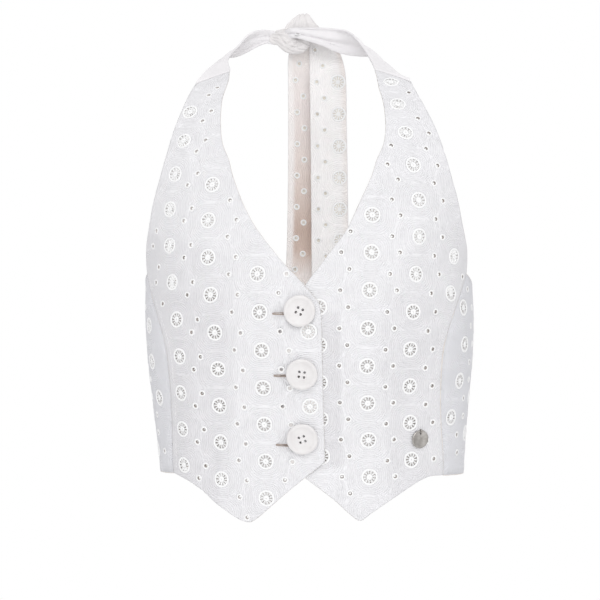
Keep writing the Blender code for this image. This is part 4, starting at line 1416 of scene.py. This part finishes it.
class Tie:
    """A tie's surface between its two edges, over flat places: across its width and along its length."""

    def __init__(self, name):
        self.side = TIES[name]["side"]
        self.lines = TIE_LINES[name]
        self.edges = []
        for key, s in (("neck", 0.0), ("arm", 1.0)):
            start, onward = front_top(self.side, s)
            leaving = [start + onward * SEAM_GAP, start + onward * TIE_LEAVES]
            self.edges.append(smooth_line(leaving + list(TIES[name][key])))
        self.length = sum(line_length(edge) for edge in self.edges) / 2
        self.cache = {}

    def frame_at(self, t):
        """Both edges and the run at a fraction of the length."""
        key = round(t, 6)
        if key not in self.cache:
            ahead = min(t + 0.02, 1.0)
            neck, arm = (along(edge, t) for edge in self.edges)
            run = sum((along(edge, ahead) - along(edge, ahead - 0.04) for edge in self.edges), Vector())
            self.cache[key] = neck, arm, run
        return self.cache[key]

    def place(self, across, up):
        s, t = across / TIE_WIDTH, min(max(up / self.length, 0.0), 1.0)
        neck, arm, run = self.frame_at(t)
        first, last, from_neck = (arm, neck, 1 - s) if self.side < 0 else (neck, arm, s)
        out = (last - first).cross(run).normalized()
        crease = TIE_FOLD_DEPTH * TIE_FOLD_SHARE[self.side] * ease(t * 3 - 0.3) * math.sin(4 * math.pi * s)
        crown = TIE_CROWN * ease(t * 4 - 0.4) * math.sin(math.pi * s)
        edge = front_top(self.side, from_neck)[0]
        bow = edge - front_top(self.side, 0.0)[0].lerp(front_top(self.side, 1.0)[0], from_neck)
        spot = first.lerp(last, s) + out * (crease + crown) + bow * (1 - ease(t * 5))
        return spot - out * crease_depth(self.lines, spot.x, spot.z)


def strip_outline(width, length, steps_along=60, steps_across=12):
    """A rectangle's outline with enough points on its sides, anticlockwise."""
    foot = [(width * k / steps_across, 0.0) for k in range(steps_across)]
    right = [(width, length * k / steps_along) for k in range(steps_along)]
    top = [(width * (1 - k / steps_across), length) for k in range(steps_across)]
    left = [(0.0, length * (1 - k / steps_along)) for k in range(steps_along)]
    return foot + right + top + left


def flat_near(place, width, length, x, z):
    """The flat place whose point on the cloth is seen nearest to x, z."""
    spots = [(width * i / 20, length * k / 90) for i in range(3, 18) for k in range(91)]
    return min(spots, key=lambda flat: (place(*flat).x - x) ** 2 + (place(*flat).z - z) ** 2)


def build_ties():
    for name in TIES:
        tie = Tie(name)
        eyelets = []
        if name == "strap_left":
            eyelets.append(flat_near(tie.place, TIE_WIDTH, tie.length, *BAND_EYELET))
        dressed_panel(
            "cloth_" + name, name, strip_outline(TIE_WIDTH, tie.length), tie.place, TIE_COLUMNS,
            doubled=True,
            spread_out=False, wall=TIE_WALL, step=TIE_STEP, relief=no_relief, cutwork=False, eyelets=eyelets,
            cloth=COTTON_PLAIN, back=COTTON_PLAIN,
        )


TAIL_WIDTH = 0.0355
TAIL_PITCH = 0.0297
TAIL_WAVE = 0.0014
TAIL_COLUMNS = {
    "tail_left": ((0.008, 0.0298), (0.0428, 0.0149)),
    "tail_right": ((0.0045, 0.0086), (0.0427, 0.0235)),
}


def tail_place(name):
    rows = TAILS[name]
    top, foot = rows[0][0], rows[-1][0]

    @lru_cache(maxsize=None)
    def row_at(height):
        return tuple(look_up(rows, height, k) for k in (1, 2, 3, 4))

    def place(across, up):
        s, height = across / TAIL_WIDTH, foot + up
        left, left_y, right, right_y = row_at(height)
        wave = TAIL_WAVE * math.sin(2 * math.pi * s) * ease((top - height) / 0.05)
        return Vector((mix(right, left, s), mix(right_y, left_y, s) + wave, height))

    return place


def build_tails():
    for name, rows in TAILS.items():
        length = rows[0][0] - rows[-1][0]
        dressed_panel(
            "cloth_" + name, name, strip_outline(TAIL_WIDTH, length), tail_place(name), TAIL_COLUMNS[name],
            doubled=True, spread_out=False, pitch=TAIL_PITCH,
            wall=TIE_WALL, relief=no_relief, bare_top=0.03, shade=tail_shade(name), cloth=COTTON_TAIL_BACK,
            back=COTTON_TAIL_LEFT_PAINTED_LIGHT_AND_SHADE if name == "tail_left" else COTTON_TAIL_RIGHT_PAINTED_LIGHT_AND_SHADE,
        )


# The cloth inside the loop, as KNOT_CORE
KNOT_INSIDE = (
    (-0.027, 0.0022, 0.0185, 0.003, 0.002, (0.0, 0.0, 1.0)),
    (-0.022, 0.0022, 0.019, 0.0052, 0.0048, (0.0, 0.0, 1.0)),
    (-0.014, 0.0022, 0.0198, 0.006, 0.0056, (0.0, 0.0, 1.0)),
    (-0.006, 0.0022, 0.0185, 0.005, 0.0046, (0.0, 0.0, 1.0)),
    (-0.002, 0.0022, 0.017, 0.003, 0.002, (0.0, 0.0, 1.0)),
)
# turn round the section in degrees at the start and at the end, depth, width in degrees
CORE_CREASES = (
    (300.0, 225.0, 0.0013, 9.0), (272.0, 200.0, 0.0011, 8.0), (330.0, 250.0, 0.0014, 9.0),
    (250.0, 172.0, 0.001, 9.0), (355.0, 282.0, 0.0011, 9.0), (90.0, 30.0, 0.0012, 11.0),
    (130.0, 70.0, 0.0011, 11.0), (45.0, 5.0, 0.001, 11.0), (160.0, 110.0, 0.001, 9.0),
)
WRAP_CREASES = (
    (112.0, 110.0, 0.0013, 7.0), (74.0, 76.0, 0.0015, 7.0), (92.0, 94.0, 0.0005, 6.0),
    (140.0, 132.0, 0.0006, 7.0), (250.0, 252.0, 0.0012, 8.0), (288.0, 286.0, 0.0012, 8.0),
    (268.0, 270.0, 0.0006, 6.0),
)
# Creases of the knot's face and of the ties as seen from the front: places (x, z), half width, depth
KNOT_LINES = (
    (((-0.0163, 0.0086), (-0.0237, 0.0053), (-0.0293, 0.0007)), 0.0009, 0.0009),
    (((-0.0154, 0.0077), (-0.02, 0.0026), (-0.0251, -0.0035)), 0.0009, 0.001),
    (((-0.0135, 0.0067), (-0.0163, 0.0016), (-0.021, -0.0039)), 0.0009, 0.0009),
    (((-0.0303, 0.0049), (-0.0247, 0.003), (-0.0182, 0.0026), (-0.0116, 0.0044)), 0.0008, 0.001),
    (((-0.0275, -0.003), (-0.0219, -0.0011), (-0.0154, 0.0003), (-0.0107, 0.0026)), 0.0009, 0.0008),
    (((-0.0386, 0.0118), (-0.034, 0.0081), (-0.0312, 0.0035), (-0.0284, -0.003)), 0.001, 0.0013),
    (((-0.0268, 0.006), (-0.0275, 0.0015), (-0.0258, -0.003)), 0.0008, -0.0005),
)
TIE_LINES = {
    "strap_right": (
        (((-0.047, 0.001), (-0.0435, 0.0066), (-0.0377, 0.0128)), 0.0012, 0.0013),
        (((-0.066, -0.0062), (-0.0628, -0.0026), (-0.0517, 0.0029), (-0.0442, 0.0057)), 0.001, 0.0008),
        (((-0.076, -0.0049), (-0.0628, 0.0062), (-0.05, 0.011)), 0.0016, 0.0004),
        (((-0.06, 0.011), (-0.05, 0.0138), (-0.04, 0.0126)), 0.001, 0.0006),
    ),
    "strap_left": (
        (((-0.012, 0.0078), (0.0023, 0.0044), (0.0144, 0.0036), (0.03, -0.002)), 0.0011, 0.0012),
        (((-0.007, 0.0109), (0.007, 0.0086), (0.0256, 0.0072)), 0.0013, 0.0007),
        (((0.01, -0.004), (0.0172, -0.0053), (0.027, -0.0075)), 0.0012, 0.0007),
        (((-0.028, 0.015), (-0.016, 0.014), (0.0, 0.0138)), 0.001, 0.0006),
    ),
}
KNOT_STEPS = 8  # rings between two sections
KNOT_SIDES = 120


def knot_part(name, node, sections, creases, lines=()):
    """A gathered lump of cloth through the sections, creased along its length and across its face."""
    sizes = smooth_line([(row[3], row[4], 0.0) for row in sections], KNOT_STEPS)
    widths = smooth_line([row[5] for row in sections], KNOT_STEPS)
    middles = smooth_line([row[:3] for row in sections], KNOT_STEPS)
    work = Builder()
    rings = []
    for i, middle in enumerate(middles):
        run = middles[min(i + 1, len(middles) - 1)] - middles[max(i - 1, 0)]
        through = widths[i].cross(run).normalized()
        across = run.cross(through).normalized()
        share = i / (len(middles) - 1)
        ring = []
        for k in range(KNOT_SIDES):
            turn = 2 * math.pi * k / KNOT_SIDES
            dent = 0.0
            for start, end, depth, width in creases:
                away = (math.degrees(turn) - mix(start, end, share) + 180.0) % 360.0 - 180.0
                dent += depth * bell(away / width)
            flat_sine = math.copysign(abs(math.sin(turn)) ** 0.8, math.sin(turn))
            half_width, half_thickness = sizes[i].x, sizes[i].y
            outward = across * (math.cos(turn) / half_width) + through * (flat_sine / half_thickness)
            outward.normalize()
            limit = min(dent, half_thickness * 0.45)
            spot = middle + across * (half_width * math.cos(turn)) + through * (half_thickness * flat_sine)
            if outward.y < 0:
                limit -= outward.y * crease_depth(lines, spot.x, spot.z)
            ring.append(spot - outward * limit)
        rings.append(ring)
    work.tube_ring(rings, closed=False)
    piece = work.piece(name, COTTON_KNOT_PAINTED_SHADE)
    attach(piece, "root")
    if node:
        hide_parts(node)
    return piece


def build_knot():
    knot_part("knot_core_folds", "knot_core", KNOT_CORE, CORE_CREASES, KNOT_LINES)
    knot_part("knot_wrap_folds", "knot_wrap", KNOT_WRAP, WRAP_CREASES)
    knot_part("knot_inner_folds", None, KNOT_INSIDE, WRAP_CREASES)


# ---- Buttons and tag -----------------------------------------------------------------------------


def seat_on_front(side, out, height, turn, clearance):
    """The matrix that stands a piece's Z axis on a front, turned about that axis."""
    angle = angle_of(out, height)
    place = front_surface(side, angle, height, clearance)
    normal = figure_normal(side * angle, height)
    sideways = Vector((0.0, 0.0, 1.0)).cross(normal).normalized()
    upright = normal.cross(sideways)
    axes = Matrix((sideways, upright, normal)).transposed().to_4x4()
    return Matrix.Translation(place) @ axes @ Matrix.Rotation(math.radians(turn), 4, "Z")


def lathe(section, steps):
    """A solid of revolution about Z, with points on the axis at both ends of the section."""
    bm = bmesh.new()
    top, foot = bm.verts.new((0, 0, section[0][1])), bm.verts.new((0, 0, section[-1][1]))
    rings = []
    for radius, height in section[1:-1]:
        rings.append([bm.verts.new((x, y, height)) for x, y in circle(radius, steps)])
    for k in range(steps):
        n = (k + 1) % steps
        bm.faces.new((top, rings[0][k], rings[0][n]))
        for upper, lower in zip(rings, rings[1:]):
            bm.faces.new((upper[k], lower[k], lower[n], upper[n]))
        bm.faces.new((foot, rings[-1][n], rings[-1][k]))
    bmesh.ops.recalc_face_normals(bm, faces=bm.faces)
    return bm


def bored(name, bm, holes, radius, material):
    """The mesh with round holes cut through it along Z, as an object at the origin."""
    mesh = bpy.data.meshes.new(name)
    bm.to_mesh(mesh)
    bm.free()
    mesh.materials.append(material)
    piece = bpy.data.objects.new(name, mesh)
    cut = bmesh.new()
    for x, y in holes:
        bmesh.ops.create_cone(cut, cap_ends=True, segments=28, radius1=radius, radius2=radius, depth=0.02,
                              matrix=Matrix.Translation((x, y, 0.0)))
    cut_mesh = bpy.data.meshes.new(name + "_cut")
    cut.to_mesh(cut_mesh)
    cut.free()
    cutter = bpy.data.objects.new(name + "_cut", cut_mesh)
    for thing in (piece, cutter):
        bpy.context.scene.collection.objects.link(thing)
    boolean = piece.modifiers.new("holes", "BOOLEAN")
    boolean.object = cutter
    boolean.solver = "EXACT"
    graph = bpy.context.evaluated_depsgraph_get()
    result = bpy.data.meshes.new_from_object(piece.evaluated_get(graph))
    piece.modifiers.clear()
    piece.data = result
    bpy.data.objects.remove(cutter, do_unlink=True)
    result.shade_smooth()
    result.set_sharp_from_angle(angle=math.radians(38))
    return piece


def build_buttons():
    section = [(p.x, p.y) for p in smooth_line([(r, h, 0.0) for r, h in BUTTON_SECTION[1:-1]], 5)]
    section = [BUTTON_SECTION[0], (0.004, BUTTON_SECTION[0][1])] + section + [BUTTON_SECTION[-1]]
    half = BUTTON_HOLE_SPACING / 2
    corners = [(sx * half, sy * half) for sx in (-1, 1) for sy in (-1, 1)]
    for name, x, height, turn in BUTTONS:
        button = bored(name + "_resin", lathe(section, 96), corners, BUTTON_HOLE, RESIN)
        seat = seat_on_front(-1, figure_row(height)[LEAN] - x, height, turn, REST_GAP)
        button.data.transform(seat)
        thread = Builder()
        for sy in (-1, 1):
            rings = []
            for k in range(9):
                t = k / 8
                lift = 0.001 + 0.0022 * math.sin(math.pi * t) ** 0.4
                middle = Vector((mix(-half, half, t) * 0.9, sy * half * 1.12, lift))
                rings.append([
                    seat @ (middle + Vector((0.0, 0.00022 * a, 0.0002 * b))) for a, b in circle(1.0, 6)
                ])
            thread.tube_ring(rings, closed=False)
        strands = thread.piece(name + "_thread", THREAD)
        for piece in (button, strands):
            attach(piece, "root")
        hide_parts(name)


LINK_RADIUS = 0.0003  # of the wire that the tag hangs on


def build_tag():
    rim, face = TAG_RADIUS, 0.0009
    section = (
        (0.0, face), (rim - 0.0016, face), (rim - 0.0012, 0.0012), (rim - 0.0004, 0.0012), (rim, 0.0008),
        (rim, 0.0003), (rim - 0.0004, 0.0), (0.0, 0.0),
    )
    hole = (0.0, 0.005)
    disc = bored("tag_disc", lathe(section, 80), [hole], 0.001, METAL)
    seat = seat_on_front(1, TAG_OUT, TAG_HEIGHT, 0.0, REST_GAP)
    disc.data.transform(seat)
    loop = Builder()
    rings = []
    for k in range(24):
        turn = 2 * math.pi * k / 24
        middle = Vector((0.0, 0.0066 + 0.0019 * math.cos(turn), 0.0008 + 0.0013 * math.sin(turn)))
        outward, aside = Vector((0.0, math.cos(turn), math.sin(turn))), Vector((1.0, 0.0, 0.0))
        rings.append([
            seat @ (middle + outward * (LINK_RADIUS * a) + aside * (LINK_RADIUS * b))
            for a, b in circle(1.0, 8)
        ])
    loop.tube_ring(rings)
    link = loop.piece("tag_link", METAL)
    for piece in (disc, link):
        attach(piece, "root")
    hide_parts("tag")


# ---- Camera, light and floor ---------------------------------------------------------------------

CAMERA_TARGET = Vector((-0.01, -0.085, -0.235))
CAMERA_AZIMUTH = 4.5
CAMERA_DISTANCE = 1.45
CAMERA_LENS = 98.9
WALLS, CEILING, SIDES = 1.0, 0.93, 0.8  # the room's light from ahead and behind, above and below, aside
FLOOR_HEIGHT, FLOOR_RADIUS = -0.95, 2.0
# name, place, size, watts
LAMPS = (
    ("key", (-0.2, -2.4, 1.4), 1.3, 15.6),
    ("fill", (1.4, -1.9, 0.8), 1.2, 4.6),
    ("front", (0.2, -2.7, 0.1), 1.0, 4.8),
    ("back", (0.5, 2.2, 0.9), 1.2, 9.0),
)


def build_camera():
    turn = math.radians(CAMERA_AZIMUTH)
    camera = bpy.data.objects.new("camera", bpy.data.cameras.new("camera"))
    camera.data.lens = CAMERA_LENS
    camera.data.sensor_width = 36.0
    camera.location = CAMERA_TARGET + CAMERA_DISTANCE * Vector((math.sin(turn), -math.cos(turn), 0.0))
    camera.rotation_euler = (math.pi / 2, 0.0, turn)
    bpy.context.scene.collection.objects.link(camera)
    bpy.context.scene.camera = camera


def add_light(name, place, size, power_watts):
    light = bpy.data.lights.new(name, "AREA")
    light.shape = "DISK"
    light.size = size
    light.energy = power_watts
    lamp = bpy.data.objects.new(name, light)
    lamp.location = place
    lamp.rotation_euler = (CAMERA_TARGET - Vector(place)).to_track_quat("-Z", "Y").to_euler()
    bpy.context.scene.collection.objects.link(lamp)


def build_world():
    """White walls ahead and behind, and less light from the sides, the ceiling and the floor."""
    world = bpy.data.worlds.new("studio")
    world.use_nodes = True
    tree = world.node_tree
    direction = tree.nodes.new("ShaderNodeTexCoord").outputs["Generated"]
    parts = tree.nodes.new("ShaderNodeSeparateXYZ")
    tree.links.new(direction, parts.inputs[0])
    product = tree.nodes.new("ShaderNodeMixRGB")
    product.blend_type = "MULTIPLY"
    product.inputs["Fac"].default_value = 1.0
    falls = (("Z", 0.34, 0.9, CEILING, "Color1"), ("X", 0.34, 0.85, SIDES, "Color2"))
    for axis, start, end, level, socket in falls:
        slope = tree.nodes.new("ShaderNodeMath")
        slope.operation = "ABSOLUTE"
        ramp = tree.nodes.new("ShaderNodeValToRGB")
        for element, position, grey in zip(ramp.color_ramp.elements, (start, end), (WALLS, level)):
            element.position = position
            element.color = (grey, grey, grey, 1.0)
        tree.links.new(parts.outputs[axis], slope.inputs[0])
        tree.links.new(slope.outputs[0], ramp.inputs["Fac"])
        tree.links.new(ramp.outputs["Color"], product.inputs[socket])
    tree.links.new(product.outputs["Color"], tree.nodes["Background"].inputs["Color"])
    tree.nodes["Background"].inputs["Strength"].default_value = 1.0
    bpy.context.scene.world = world


def build_studio():
    rim = [(x, y, FLOOR_HEIGHT) for x, y in circle(FLOOR_RADIUS, 96)]
    floor = object_from("floor", rim, [tuple(range(len(rim)))], floor_material(), smooth=False)
    build_world()
    for lamp in LAMPS:
        add_light(*lamp)
    bpy.context.scene.view_settings.view_transform = "Standard"
    bpy.context.scene.view_settings.look = "None"


build_camera()
build_studio()
build_fronts()
build_back()
build_ties()
build_tails()
build_knot()
build_buttons()
build_tag()
